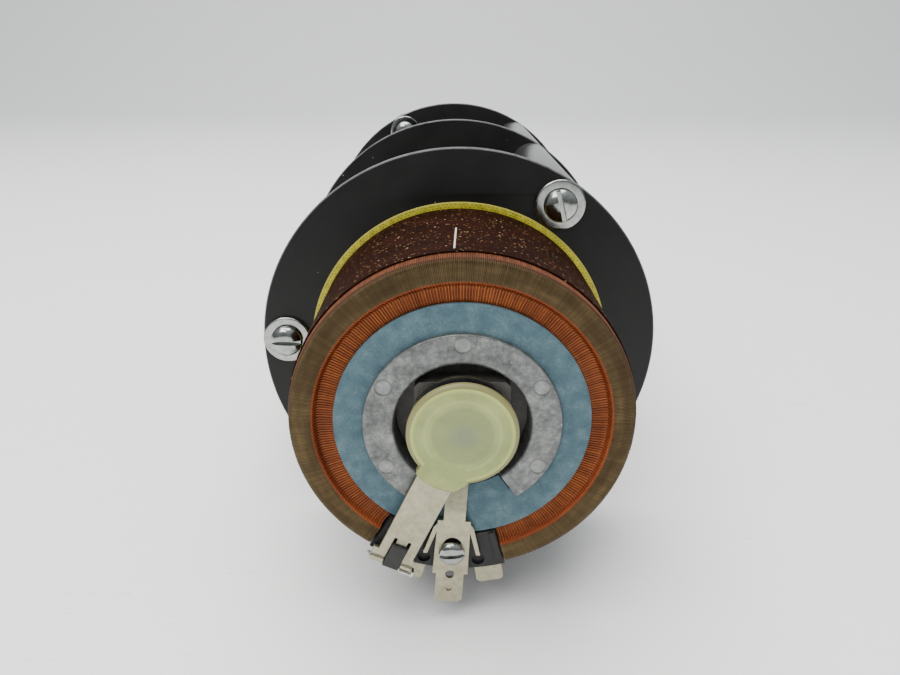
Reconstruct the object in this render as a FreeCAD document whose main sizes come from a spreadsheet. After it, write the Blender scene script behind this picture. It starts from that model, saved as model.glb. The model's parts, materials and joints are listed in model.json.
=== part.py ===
"""Three-gang open-frame variable autotransformer, modelled as its separate pieces.

Frame: millimetres, +Z up, Y along the shaft.  The origin is on the shaft's axis, in the plane of the
mounting posts' rear faces, and -Y points to the front, where the first brush arm is.  The unit lies on
the edges of its three round plates.  Angles are read from the front: 0 is +X, 90 is +Z.

Each gang is drawn in a frame of its own whose Y = 0 is the plane that its brush runs on.
"""
import FreeCAD
import Part
import Sketcher
import math
import os

Vector = FreeCAD.Vector
Placement = FreeCAD.Placement
Rotation = FreeCAD.Rotation

TOWARDS_FRONT = Vector(0, -1, 0)
ACROSS = Vector(0, 0, 1)

doc = FreeCAD.newDocument("autotransformer")
sheet = doc.addObject("Spreadsheet::Sheet", "Sizes")


# ---------------------------------------------------------------------------------------------------
# Driving sizes: name, value, what it is
# ---------------------------------------------------------------------------------------------------
SIZES = (
    ("plate_radius", 51.6, "round plate, radius"),
    ("plate_thick", 2.0, "round plate, thickness"),
    ("plate_edge", 0.3, "chamfer on the plate's rim"),
    ("plate_bore", 8.0, "radius of the plate's middle hole"),
    ("screw_circle", 45.3, "radius of the circle that the plate screws are on"),
    ("clear_hole", 2.25, "radius of a clearance hole in a plate"),
    ("gang_pitch", 69.2, "from one plate to the next"),
    ("coil_depth", 43.3, "from the brush plane back to the plate"),
    ("post_length", 12.7, "mounting post, length"),
    ("spacer_radius", 6.2, "spacer and mounting post, radius"),
    ("stud_radius", 2.05, "thread of the plate screws and studs, radius"),
    ("tapped_radius", 2.12, "tapped hole for them, radius"),
    ("tapped_depth", 9.0, "depth of the tapped hole in a spacer"),
    ("stud_length", 6.2, "stud on the rear end of a spacer"),
    ("post_hole_radius", 1.75, "mounting hole in a post, radius"),
    ("post_hole_depth", 6.4, "mounting hole in a post, depth"),
    ("post_front_depth", 5.6, "front tapped hole in a post, depth"),
    ("nut_flats", 8.7, "spacer nut across its flats"),
    ("nut_thick", 3.2, "spacer nut, thickness"),
    ("washer_radius", 6.25, "plate washer, radius"),
    ("washer_thick", 1.0, "plate washer, thickness"),
    ("washer_edge", 0.35, "rounding on the plate washer"),
    ("head_radius", 4.15, "plate screw's head, radius"),
    ("head_height", 2.6, "plate screw's head, height"),
    ("slot_width", 1.15, "plate screw's slot, width"),
    ("slot_depth", 1.3, "plate screw's slot, depth"),
    ("screw_reach", 8.0, "plate screw's shank under its head"),
    ("coil_bore", 19.4, "winding, inner radius"),
    ("coil_radius", 36.8, "winding, outer radius"),
    ("coil_rear", 42.5, "rear face of the winding behind the brush plane"),
    ("coil_corner", 1.2, "rounding of the winding's edges"),
    ("coil_start", 235.0, "angle where the winding begins"),
    ("coil_sweep", 309.0, "angle that the winding covers"),
    ("ledge_depth", 1.45, "inner part of the winding's face behind the brush plane"),
    ("ledge_radius", 30.7, "outer radius of that inner part"),
    ("track_radius", 31.5, "inner radius of the brush track"),
    ("core_inner", 20.6, "core, inner radius"),
    ("core_outer", 35.7, "core, outer radius"),
    ("core_front", 3.0, "front face of the core"),
    ("core_rear", 40.0, "rear face of the core"),
    ("core_gap", 0.05, "room between the core and the winding"),
    ("sleeve_radius", 37.2, "outer sleeve, outer radius"),
    ("sleeve_thick", 0.35, "outer sleeve, thickness"),
    ("sleeve_front", 3.6, "front edge of the outer sleeve"),
    ("gasket_radius", 38.7, "gasket, outer radius"),
    ("gasket_thick", 0.8, "gasket, thickness"),
    ("disc_radius", 27.3, "blue insulating disc, outer radius"),
    ("disc_bore", 18.9, "blue insulating disc, inner radius"),
    ("disc_front", 0.6, "front face of the insulating disc"),
    ("disc_thick", 0.8, "insulating disc, thickness"),
    ("disc_fill_start", 303.0, "angle where the disc's inward part begins, in the flange's opening"),
    ("disc_fill_sweep", 66.0, "angle that the disc's inward part covers"),
    ("flange_radius", 21.05, "casting's flange, outer radius"),
    ("flange_front", 0.5, "flange's front face in front of the brush plane"),
    ("flange_start", 235.0, "angle where the flange begins"),
    ("flange_sweep", 290.0, "angle that the flange covers"),
    ("tube_outer", 18.6, "casting's tube, outer radius"),
    ("tube_inner", 14.4, "casting's tube, inner radius"),
    ("tube_front", 1.45, "front end of the tube"),
    ("web_thick", 6.0, "casting's rear web, thickness"),
    ("mark_circle", 18.8, "radius of the circle of ejector marks"),
    ("mark_radius", 1.7, "ejector mark, radius"),
    ("mark_depth", 0.12, "ejector mark, depth"),
    ("casting_screw_circle", 11.5, "radius of the circle of casting screws"),
    ("small_stud", 1.5, "thread of the small screws, radius"),
    ("small_tapped", 1.56, "tapped hole for them, radius"),
    ("bush_radius", 5.45, "shaft bush, outer radius"),
    ("bush_flange", 7.2, "shaft bush's flange, radius"),
    ("bush_clearance", 0.03, "running clearance of the shaft in its bush"),
    ("collector_side", 20.0, "square collector insulator, side"),
    ("collector_corner", 1.0, "chamfer on the collector insulator's corners"),
    ("collector_bore", 5.0, "collector insulator, radius of its bore"),
    ("collector_front", 0.65, "front face of the collector insulator"),
    ("collector_rear", 7.5, "rear face of the collector insulator"),
    ("strip_angle", 266.1, "angle that the take-off strip points to"),
    ("strip_thick", 0.8, "take-off strip, thickness"),
    ("strip_lift", 0.8, "front face of the strip's body in front of the brush plane"),
    ("neck_lift", 0.2, "front face of the strip's neck in front of the brush plane"),
    ("ring_radius", 11.15, "collector ring, outer radius"),
    ("ring_depth", 1.0, "front face of the collector ring behind the brush plane"),
    ("ring_bore", 6.0, "collector ring, inner radius"),
    ("neck_half", 2.4, "half the width of the strip's neck"),
    ("shoulder_reach", 23.4, "radius where the strip widens"),
    ("shoulder_half", 3.65, "half the strip's width there"),
    ("body_reach", 37.9, "radius where the strip narrows to its tab"),
    ("body_half", 4.05, "half the strip's width there"),
    ("tab_half", 3.175, "half the width of a quick-connect tab"),
    ("tab_reach", 45.9, "radius of the take-off tab's end"),
    ("tab_corner", 0.75, "chamfer on a tab's corners"),
    ("leg_length", 9.0, "take-off strip's clip legs, from its shoulder to their ends"),
    ("clamp_reach", 31.8, "radius of the take-off screw"),
    ("clamp_head", 3.0, "take-off screw's head, radius"),
    ("clamp_height", 1.9, "take-off screw's head, height"),
    ("block_start", 236.0, "angle where the terminal block begins"),
    ("block_sweep", 49.6, "angle that the terminal block covers"),
    ("block_inner", 27.7, "terminal block, inner radius"),
    ("block_outer", 37.2, "terminal block, outer radius"),
    ("block_front", 0.4, "front face of the terminal block"),
    ("winding_tab_front", 1.4, "front face of the winding's tabs"),
    ("winding_tab_thick", 0.8, "winding's tabs, thickness"),
    ("winding_tab_reach", 42.2, "radius of the winding tabs' ends"),
    ("winding_tab_spread", 13.3, "angle of a winding tab from the take-off strip"),
    ("shaft_radius", 3.175, "shaft, radius"),
    ("shaft_rear", 25.0, "shaft's rear end behind the mounting plane"),
    ("shaft_front", 3.2, "shaft's front end in front of the first brush plane"),
    ("shaft_fit", 0.01, "room between the shaft and what is clamped on it"),
    ("groove_radius", 2.7, "bottom of the shaft's retaining groove, radius"),
    ("groove_front", -3.8, "front wall of the retaining groove"),
    ("groove_width", 0.7, "retaining groove, width"),
    ("clip_radius", 5.2, "retaining ring, outer radius"),
    ("hub_sleeve", 4.2, "brush hub's sleeve, radius"),
    ("hub_collar", 7.6, "brush hub's collar, radius"),
    ("hub_rear", 15.0, "rear face of the brush hub"),
    ("hub_step", 7.9, "front face of the hub's collar"),
    ("hub_lip", 5.2, "staked lip on the hub's front end, radius"),
    ("hub_front", 3.5, "hub's front end in front of the brush plane"),
    ("arm_angle", 245.0, "angle that the brush arm points to at rest"),
    ("arm_half", 4.15, "half the brush arm's width"),
    ("arm_front", 2.0, "arm's front face in front of the brush plane"),
    ("arm_thick", 0.9, "brush arm, thickness"),
    ("arm_root", 8.5, "arm's round root, radius"),
    ("notch_half", 2.0, "half the width of the notch for the brush"),
    ("notch_reach", 32.0, "radius where the notch begins"),
    ("pin_reach", 37.4, "radius of the brush pin"),
    ("pin_depth", 1.05, "brush pin's axis in front of the brush plane"),
    ("pin_radius", 0.42, "brush pin, radius"),
    ("roll_radius", 1.2, "rolled ear, outer radius"),
    ("ear_left", 5.3, "outer end of the left rolled ear"),
    ("ear_right", 4.7, "outer end of the right rolled ear"),
    ("spring_radius", 0.33, "brush spring's wire, radius"),
    ("spring_out", 0.9, "spring wire beyond the pin's axis"),
    ("spring_ahead", 1.3, "spring wire in front of the pin's axis"),
    ("brush_half", 1.85, "half the carbon brush's width"),
    ("brush_front", 2.7, "brush's front face in front of the brush plane"),
    ("brush_lift", 0.05, "room between the brush and its track"),
    ("brush_end", 38.4, "radius of the brush's outer end"),
    ("cap_radius", 11.75, "hub cap, outer radius"),
    ("cap_face", 10.75, "hub cap, radius of its flat face"),
    ("cap_front", 4.2, "cap's face in front of the brush plane"),
    ("cap_rear", 2.9, "cap's rear edge in front of the brush plane"),
    ("cap_wall", 0.8, "cap's wall"),
    ("cap_skin", 0.55, "cap's face, thickness"),
    ("tongue_reach", 13.85, "radius of the cap's tongue over the arm"),
    ("stop_reach", 14.0, "radius of the circle that the stop pin is on"),
    ("stop_pin_radius", 2.0, "stop pin, radius"),
    ("stop_half", 3.47, "half the width of the stop collar's finger"),
    ("stop_angle", 90.0, "angle of the stop pin"),
    ("stop_lead", 24.0, "angle from the finger to the pin at rest"),
)

GANGS = ("front", "middle", "rear")
SPACER_ANGLES = (57, 177, 297)
MOUNTING_ANGLES = (117, 237, 357)
CASTING_SCREW_ANGLES = (30, 150, 270)


# ---------------------------------------------------------------------------------------------------
# Sizes that keep their spreadsheet expression
# ---------------------------------------------------------------------------------------------------
class Size:
    """A number together with the spreadsheet expression that gives it."""

    def __init__(self, value, text):
        self.value = float(value)
        self.text = text

    def __add__(self, other):
        other = as_size(other)
        return Size(self.value + other.value, "(%s + %s)" % (self.text, other.text))

    def __radd__(self, other):
        return as_size(other) + self

    def __sub__(self, other):
        other = as_size(other)
        return Size(self.value - other.value, "(%s - %s)" % (self.text, other.text))

    def __rsub__(self, other):
        return as_size(other) - self

    def __mul__(self, factor):
        return Size(self.value * factor, "(%s * %s)" % (self.text, factor))

    __rmul__ = __mul__

    def __neg__(self):
        return Size(-self.value, "(-%s)" % self.text)


def as_size(number):
    """Turn a plain number into a Size; a Size stays as it is."""
    return number if isinstance(number, Size) else Size(number, "(%s)" % float(number))


def fill_sheet():
    """Write every driving size into the sheet and return them by name."""
    sizes = {}
    for row, (name, value, meaning) in enumerate(SIZES, start=1):
        sheet.set("A%d" % row, meaning)
        sheet.set("B%d" % row, str(value))
        sheet.setAlias("B%d" % row, name)
        sizes[name] = Size(value, "Sizes.%s" % name)
    doc.recompute()
    return sizes


S = fill_sheet()


def bind(item, path, size):
    """Bind a property to its spreadsheet expression."""
    item.setExpression(path, as_size(size).text)


# ---------------------------------------------------------------------------------------------------
# Sketches
# ---------------------------------------------------------------------------------------------------
class Circle:
    """A circle in a sketch."""

    def __init__(self, radius, across=0, up=0):
        self.radius = as_size(radius)
        self.centre = (as_size(across), as_size(up))

    def draw(self, sketch):
        """Add the circle to the sketch and pin its centre and radius."""
        middle = Vector(self.centre[0].value, self.centre[1].value, 0)
        index = sketch.addGeometry(Part.Circle(middle, ACROSS, self.radius.value), False)
        pin_point(sketch, index, 3, self.centre)
        add_size(sketch, Sketcher.Constraint("Radius", index, self.radius.value), self.radius)


class Outline:
    """A closed outline of straight lines in a sketch."""

    def __init__(self, *corners):
        self.corners = [(as_size(across), as_size(up)) for across, up in corners]

    def draw(self, sketch):
        """Add the lines to the sketch, join them and pin each corner."""
        points = [Vector(across.value, up.value, 0) for across, up in self.corners]
        first = sketch.GeometryCount
        for start, end in zip(points, points[1:] + points[:1]):
            sketch.addGeometry(Part.LineSegment(start, end), False)
        count = len(points)
        for i in range(count):
            joined = first + (i + 1) % count
            sketch.addConstraint(Sketcher.Constraint("Coincident", first + i, 2, joined, 1))
        for i, corner in enumerate(self.corners):
            pin_point(sketch, first + i, 1, corner)


def rectangle(left, right, low, high):
    """A rectangle as an outline."""
    return Outline((left, low), (right, low), (right, high), (left, high))


def pin_point(sketch, index, which, corner):
    """Hold a sketch point at its two sizes, or on an axis where a size is nothing."""
    for kind, size, axis in (("DistanceX", corner[0], -2), ("DistanceY", corner[1], -1)):
        if size.value == 0:
            sketch.addConstraint(Sketcher.Constraint("PointOnObject", index, which, axis))
        else:
            add_size(sketch, Sketcher.Constraint(kind, -1, 1, index, which, size.value), size)


def add_size(sketch, constraint, size):
    """Add a driving constraint and bind it to its spreadsheet expression."""
    number = sketch.addConstraint(constraint)
    bind(sketch, "Constraints[%d]" % number, size)


def make_sketch(body, plane, loops, offset, turn=0):
    """Draw loops on one of the body's own origin planes, moved along its normal and turned in it."""
    sketch = body.newObject("Sketcher::SketchObject", body.Label + "_sketch")
    origin_plane = [item for item in body.Origin.OriginFeatures if item.Role == plane][0]
    sketch.AttachmentSupport = [(origin_plane, "")]
    sketch.MapMode = "FlatFace"
    offset = as_size(offset)
    turn = as_size(turn)
    sketch.AttachmentOffset = Placement(Vector(0, 0, offset.value), Rotation(ACROSS, turn.value))
    bind(sketch, "AttachmentOffset.Base.z", offset)
    if turn.value != 0:
        bind(sketch, "AttachmentOffset.Rotation.Angle", turn)
    for loop in loops:
        loop.draw(sketch)
    return sketch


# ---------------------------------------------------------------------------------------------------
# Bodies and their features
# ---------------------------------------------------------------------------------------------------
def make_body(label, y=0, angle=0):
    """A body moved along the shaft and turned so that its +X points to the given angle."""
    body = doc.addObject("PartDesign::Body", label)
    body.Label = label
    y = as_size(y)
    angle = as_size(angle)
    body.Placement = Placement(Vector(0, y.value, 0), Rotation(TOWARDS_FRONT, angle.value))
    bind(body, "Placement.Base.y", y)
    if angle.value != 0:
        bind(body, "Placement.Rotation.Angle", angle)
    return body


def slab(body, loops, front, back, turn=0):
    """Pad loops drawn across the shaft from Y = front to Y = back."""
    sketch = make_sketch(body, "XZ_Plane", loops, -as_size(back), turn)
    pad = body.newObject("PartDesign::Pad", body.Label + "_pad")
    pad.Profile = sketch
    bind(pad, "Length", as_size(back) - front)
    return pad


def hollow(body, loops, front, back, turn=0):
    """Cut loops drawn across the shaft from Y = front to Y = back."""
    sketch = make_sketch(body, "XZ_Plane", loops, -as_size(front), turn)
    pocket = body.newObject("PartDesign::Pocket", body.Label + "_pocket")
    pocket.Profile = sketch
    bind(pocket, "Length", as_size(back) - front)
    return pocket


def side_slab(body, loops, low, high):
    """Pad loops drawn along the shaft (across by Y) from Z = low to Z = high."""
    sketch = make_sketch(body, "XY_Plane", loops, low)
    pad = body.newObject("PartDesign::Pad", body.Label + "_side_pad")
    pad.Profile = sketch
    bind(pad, "Length", as_size(high) - low)
    return pad


def side_hollow(body, loops, low, high):
    """Cut loops drawn along the shaft from Z = low to Z = high."""
    sketch = make_sketch(body, "XY_Plane", loops, high)
    pocket = body.newObject("PartDesign::Pocket", body.Label + "_side_pocket")
    pocket.Profile = sketch
    bind(pocket, "Length", as_size(high) - low)
    return pocket


def turned(body, loops, sweep=360):
    """Revolve loops of (radius, Y) about the shaft, clockwise from +X as seen from the front."""
    sketch = make_sketch(body, "XY_Plane", loops, 0)
    revolution = body.newObject("PartDesign::Revolution", body.Label + "_turned")
    revolution.Profile = sketch
    revolution.ReferenceAxis = (sketch, ["V_Axis"])
    revolution.Angle = as_size(sweep).value
    bind(revolution, "Angle", sweep)
    return revolution


def around(body, feature, count, angle=360):
    """Repeat a feature around the shaft."""
    pattern = body.newObject("PartDesign::PolarPattern", body.Label + "_pattern")
    pattern.Originals = [feature]
    pattern.Axis = (feature.Profile[0], ["N_Axis"])
    pattern.Angle = angle
    pattern.Occurrences = count
    body.Tip = pattern
    return pattern


def bevel(body, feature, size, wanted):
    """Chamfer the edges that the test picks."""
    doc.recompute()
    edges = ["Edge%d" % number for number, edge in enumerate(feature.Shape.Edges, start=1) if wanted(edge)]
    chamfer = body.newObject("PartDesign::Chamfer", body.Label + "_chamfer")
    chamfer.Base = (feature, edges)
    bind(chamfer, "Size", size)
    return chamfer


def is_circle(edge, radius):
    """True for a full circle of the given radius."""
    return isinstance(edge.Curve, Part.Circle) and abs(edge.Curve.Radius - radius) < 1e-6 and edge.isClosed()


def make_group(label, template, places):
    """Separate copies of one template at the given places, as one sub-part."""
    doc.recompute()
    pieces = []
    for place in places:
        piece = template.Shape.copy()
        piece.Placement = place.multiply(piece.Placement)
        pieces.append(piece)
    feature = doc.addObject("Part::Feature", label)
    feature.Label = label
    feature.Shape = Part.makeCompound(pieces)
    return feature


def around_shaft(angle, y, reach=0, spin=0):
    """A place at an angle and radius about the shaft, at Y, spun about its own axis."""
    outward = Placement(Vector(0, y, 0), Rotation(TOWARDS_FRONT, angle))
    spun = Placement(Vector(reach, 0, 0), Rotation(TOWARDS_FRONT, spin - angle if reach else spin))
    return outward.multiply(spun)


def brush_plane(gang):
    """Y of a gang's brush plane."""
    behind = S["post_length"] + S["plate_thick"] + S["coil_depth"]
    return -(behind + S["gang_pitch"] * (len(GANGS) - 1 - GANGS.index(gang)))


# ---------------------------------------------------------------------------------------------------
# Fixed pieces of one gang
# ---------------------------------------------------------------------------------------------------
def base_plate(gang):
    """Round plate: middle hole, three spacer holes, three casting screws, and the rear one's mounting."""
    body = make_body("base_plate_" + gang, brush_plane(gang) + S["coil_depth"])
    thick = S["plate_thick"]
    disc = slab(body, [Circle(S["plate_radius"]), Circle(S["plate_bore"])], 0, thick)
    rim = S["plate_radius"].value
    bevel(body, disc, S["plate_edge"], lambda edge: is_circle(edge, rim))
    spacer_hole = hollow(body, [Circle(S["clear_hole"], S["screw_circle"])], 0, thick, SPACER_ANGLES[0])
    around(body, spacer_hole, 3)
    casting_hole = Circle(S["small_stud"] + 0.25, S["casting_screw_circle"])
    around(body, hollow(body, [casting_hole], 0, thick, CASTING_SCREW_ANGLES[0]), 3)
    if gang == "rear":
        mounting_hole = Circle(S["clear_hole"], S["screw_circle"])
        around(body, hollow(body, [mounting_hole], 0, thick, MOUNTING_ANGLES[0]), 3)
    return body


def gasket(gang):
    """Varnished cloth ring between the winding and its plate."""
    body = make_body("gasket_" + gang, brush_plane(gang))
    loops = [Circle(S["gasket_radius"]), Circle(S["coil_bore"] + 0.2)]
    slab(body, loops, S["coil_depth"] - S["gasket_thick"], S["coil_depth"])
    return body


def core(gang):
    """Strip-wound steel core, a full ring."""
    body = make_body("core_" + gang, brush_plane(gang))
    slab(body, [Circle(S["core_outer"]), Circle(S["core_inner"])], S["core_front"], S["core_rear"])
    return body


def winding(gang):
    """Single-layer toroidal winding: a hollow ring round the core, open where the terminals are."""
    body = make_body("winding_" + gang, brush_plane(gang), S["coil_start"])
    corner = S["coil_corner"]
    half = corner * 0.3
    inner, outer, rear = S["coil_bore"], S["coil_radius"], S["coil_rear"]
    ledge = S["ledge_depth"]
    section = Outline(
        (inner, ledge + corner), (inner + half, ledge + half), (inner + corner, ledge),
        (S["ledge_radius"], ledge), (S["track_radius"], 0),
        (outer - corner, 0), (outer - half, half), (outer, corner),
        (outer, rear - corner), (outer - half, rear - half), (outer - corner, rear),
        (inner + corner, rear), (inner + half, rear - half), (inner, rear - corner))
    gap = S["core_gap"]
    cavity = rectangle(S["core_inner"] - gap, S["core_outer"] + gap, S["core_front"] - gap, S["core_rear"] + gap)
    turned(body, [section, cavity], S["coil_sweep"])
    return body


def outer_sleeve(gang):
    """Varnished wrap round the outside of the winding."""
    body = make_body("outer_sleeve_" + gang, brush_plane(gang))
    radius = S["sleeve_radius"]
    slab(body, [Circle(radius), Circle(radius - S["sleeve_thick"])], S["sleeve_front"], S["coil_rear"])
    return body


def insulating_disc(gang):
    """Pressboard disc under the casting's flange; in the flange's opening it reaches in to the tube's bore."""
    body = make_body("insulating_disc_" + gang, brush_plane(gang), S["disc_fill_start"])
    front = S["disc_front"]
    rear = front + S["disc_thick"]
    bore = S["disc_bore"]
    slab(body, [Circle(S["disc_radius"]), Circle(bore)], front, rear)
    turned(body, [rectangle(S["tube_inner"] + 0.1, bore + 0.1, front, rear)], S["disc_fill_sweep"])
    return body


def hub_casting(gang):
    """Die-cast tube through the coil with a rear web for the bush and an open flange that clamps the coil."""
    body = make_body("hub_casting_" + gang, brush_plane(gang), S["flange_start"])
    inner, outer, front = S["tube_inner"], S["tube_outer"], S["tube_front"]
    rear = S["coil_depth"]
    web = rear - S["web_thick"]
    bush = S["bush_radius"] + 0.05
    turned(body, [Outline((inner, front), (outer, front), (outer, rear), (bush, rear), (bush, web), (inner, web))])
    lip = S["disc_front"] - 0.05
    flange = S["flange_radius"]
    face = -S["flange_front"]
    step = front + 0.05
    profile = Outline((inner, face), (flange, face), (flange, lip), (outer, lip), (outer, step), (inner, step))
    turned(body, [profile], S["flange_sweep"])
    # the flange's six ejector marks stand 60 degrees apart, and the sixth would be in its opening
    mark = hollow(body, [Circle(S["mark_radius"], S["mark_circle"])], face, face + S["mark_depth"], 95)
    around(body, mark, 5, 240)
    hole = Circle(S["small_tapped"], S["casting_screw_circle"])
    start = CASTING_SCREW_ANGLES[0] - S["flange_start"].value
    around(body, hollow(body, [hole], rear - 5, rear, start), 3)
    return body


def collector_insulator(gang):
    """Square moulding in the mouth of the casting that carries the collector ring."""
    body = make_body("collector_insulator_" + gang, brush_plane(gang))
    half = S["collector_side"] * 0.5
    cut = half - S["collector_corner"]
    square = Outline((half, -cut), (half, cut), (cut, half), (-cut, half),
                     (-half, cut), (-half, -cut), (-cut, -half), (cut, -half))
    bore = Circle(S["collector_bore"])
    rear = S["collector_rear"]
    slab(body, [square, bore], S["collector_front"], rear - 1.5)
    seat = S["ring_depth"] + S["strip_thick"]
    hollow(body, [Circle(S["ring_radius"] + 0.1)], S["collector_front"] - 0.1, seat)
    slab(body, [Circle(S["tube_inner"] - 0.05), bore], rear - 1.5, rear)
    return body


def takeoff_strip(gang):
    """Collector ring and the tinned strip that leads it out to a quick-connect tab."""
    body = make_body("takeoff_strip_" + gang, brush_plane(gang), S["strip_angle"])
    thick = S["strip_thick"]
    neck = -S["neck_lift"]
    face = -S["strip_lift"]
    ring = S["ring_depth"]
    slab(body, [Circle(S["ring_radius"]), Circle(S["ring_bore"])], ring, ring + thick)
    joggle = S["shoulder_reach"] - 4
    root, rise = S["ring_radius"] - 1.5, S["ring_radius"] + 0.2
    join = S["shoulder_reach"] + 1
    side = Outline((root, ring), (rise, ring), (rise + 1.8, neck), (joggle, neck), (joggle + 1, face),
                   (join, face), (join, face + thick), (joggle + 1.2, face + thick),
                   (joggle + 0.2, neck + thick), (rise + 2.1, neck + thick), (rise + 0.3, ring + thick),
                   (root, ring + thick))
    half = S["neck_half"]
    side_slab(body, [side], -half, half)
    shoulder, body_half, tab = S["shoulder_half"], S["body_half"], S["tab_half"]
    start, step, end, corner = S["shoulder_reach"], S["body_reach"], S["tab_reach"], S["tab_corner"]
    outline = Outline((start, -shoulder), (step, -body_half), (step, -tab), (end - corner, -tab),
                      (end, corner - tab), (end, tab - corner), (end - corner, tab), (step, tab),
                      (step, body_half), (start, shoulder))
    slab(body, [outline], face, face + thick)
    leg_end = start + S["leg_length"]
    for side_sign in (-1, 1):
        leg = Outline((start + 0.8, shoulder * side_sign), (start + 1.9, 4.5 * side_sign),
                      (leg_end, 6.45 * side_sign), (leg_end, 5.55 * side_sign),
                      (start + 2.7, 3.65 * side_sign))
        slab(body, [leg], face, face + thick)
        low, high = sorted((5.6 * side_sign, 6.4 * side_sign))
        slab(body, [rectangle(leg_end - 0.7, leg_end, low, high)], face, 0.38)
    clamp = S["clamp_reach"]
    arch = 2.1
    hollow(body, [Circle(arch, clamp - 1.8)], face - 0.5, face + thick)
    hollow(body, [rectangle(clamp - 1.8, clamp + 1.6, -arch, arch)], face - 0.5, face + thick)
    hollow(body, [Circle(1.1, step + 0.2)], face - 0.5, face + thick)
    hollow(body, [Circle(0.7, end - 3.7)], face, face + 0.35)
    return body


def terminal_block(gang):
    """Moulded block that fills the winding's gap and holds the strip and the winding's tabs."""
    body = make_body("terminal_block_" + gang, brush_plane(gang), S["block_start"] + S["block_sweep"])
    inner, outer, front = S["block_inner"], S["block_outer"], S["block_front"]
    base = S["core_front"] - S["core_gap"]
    turned(body, [rectangle(inner, outer, front, base)], S["block_sweep"])
    end_angle = S["block_start"].value + S["block_sweep"].value
    towards_start = -S["block_sweep"].value
    # ridges at both ends, a level landing for the resting brush, and a boss under the strip
    for turn, low, high in ((0, -1.5, -0.2), (towards_start, 0.2, 1.4)):
        slab(body, [rectangle(inner + 0.3, outer - 1.7, low, high)], -0.05, front + 0.3, turn)
    rest = S["arm_angle"].value - end_angle
    slab(body, [rectangle(S["track_radius"] - 0.2, outer - 0.9, -2.9, 2.9)], 0.0, front + 0.3, rest)
    strip = S["strip_angle"].value - end_angle
    slab(body, [rectangle(inner + 0.3, outer - 0.7, -3.0, 3.0)], 0.0, front + 0.3, strip)
    hollow(body, [Circle(S["small_tapped"], S["clamp_reach"])], -0.2, base - 0.3, strip)
    for side_sign in (-1, 1):
        recess = Circle(1.45, 34.4, 6.2 * side_sign)
        hollow(body, [recess], -0.2, 1.3, strip)
    tab_front = S["winding_tab_front"] - 0.02
    tab_rear = S["winding_tab_front"] + S["winding_tab_thick"] + 0.02
    half = S["tab_half"] + 0.02
    for side_sign in (-1, 1):
        turn = strip + side_sign * S["winding_tab_spread"].value
        hollow(body, [rectangle(inner + 2, outer + 2, -half, half)], tab_front, tab_rear, turn)
    return body


# ---------------------------------------------------------------------------------------------------
# Moving pieces of one gang
# ---------------------------------------------------------------------------------------------------
def brush_hub(gang):
    """Turned hub on the shaft: front lip, long sleeve and a collar with a set screw."""
    body = make_body("brush_hub_" + gang, brush_plane(gang), S["arm_angle"])
    bore = S["shaft_radius"] + S["shaft_fit"]
    sleeve, lip, collar = S["hub_sleeve"], S["hub_lip"], S["hub_collar"]
    front, step, rear = -S["hub_front"], S["hub_step"], S["hub_rear"]
    seat = -(S["arm_front"] + 0.02)
    turned(body, [Outline((bore, front), (lip - 0.3, front), (lip, front + 0.2), (lip, seat), (sleeve, seat),
                          (sleeve, step), (collar, step), (collar, rear), (bore, rear))])
    side_hollow(body, [Circle(1.25, 0, (step + rear) * 0.5)], 0, collar + 1)
    return body


def brush_arm(gang):
    """Flat arm from the hub to the brush, with a notch and two ears rolled round the brush pin."""
    body = make_body("brush_arm_" + gang, brush_plane(gang), S["arm_angle"])
    front = -S["arm_front"]
    back = front + S["arm_thick"]
    half, notch, start = S["arm_half"], S["notch_half"], S["notch_reach"]
    ear = S["pin_reach"] - 0.5
    shoulder = S["pin_reach"] - 2.8
    left, right = S["ear_left"], S["ear_right"]
    slab(body, [Outline((0, -half), (shoulder, -half), (shoulder, -left), (ear, -left), (ear, -notch),
                        (start, -notch), (start, notch), (ear, notch), (ear, right), (shoulder + 0.6, right),
                        (shoulder, half), (0, half))], front, back)
    slab(body, [Circle(S["arm_root"])], front, back)
    hollow(body, [Circle(S["hub_sleeve"] + 0.02)], front - 1, back)
    for low, high in ((-notch, 0.75 - notch), (notch - 0.75, notch)):
        hollow(body, [rectangle(start - 1.4, start, low, high)], front - 1, back)
    axis = (S["pin_reach"], -S["pin_depth"])
    for low, high in ((-left, -notch), (notch, right)):
        side_slab(body, [Circle(S["roll_radius"], *axis)], low, high)
    side_hollow(body, [Circle(S["pin_radius"] + 0.05, *axis)], -(left + 1), right + 1)
    return body


def brush(gang):
    """Carbon brush that pivots on its pin and bears on the bared track."""
    body = make_body("brush_" + gang, brush_plane(gang), S["arm_angle"])
    front, lift, end = -S["brush_front"], -S["brush_lift"], S["brush_end"]
    start = S["notch_reach"] + 0.15
    pin = S["pin_reach"]
    half = S["brush_half"]
    side = Outline((start, front + 0.3), (start + 0.3, front), (end - 0.3, front), (end, front + 0.3),
                   (end, 0.3), (pin - 0.2, 0.3), (pin - 1.2, lift), (start, lift))
    side_slab(body, [side], -half, half)
    side_hollow(body, [Circle(S["pin_radius"] + 0.08, pin, -S["pin_depth"])], -(half + 1), half + 1)
    return body


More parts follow.
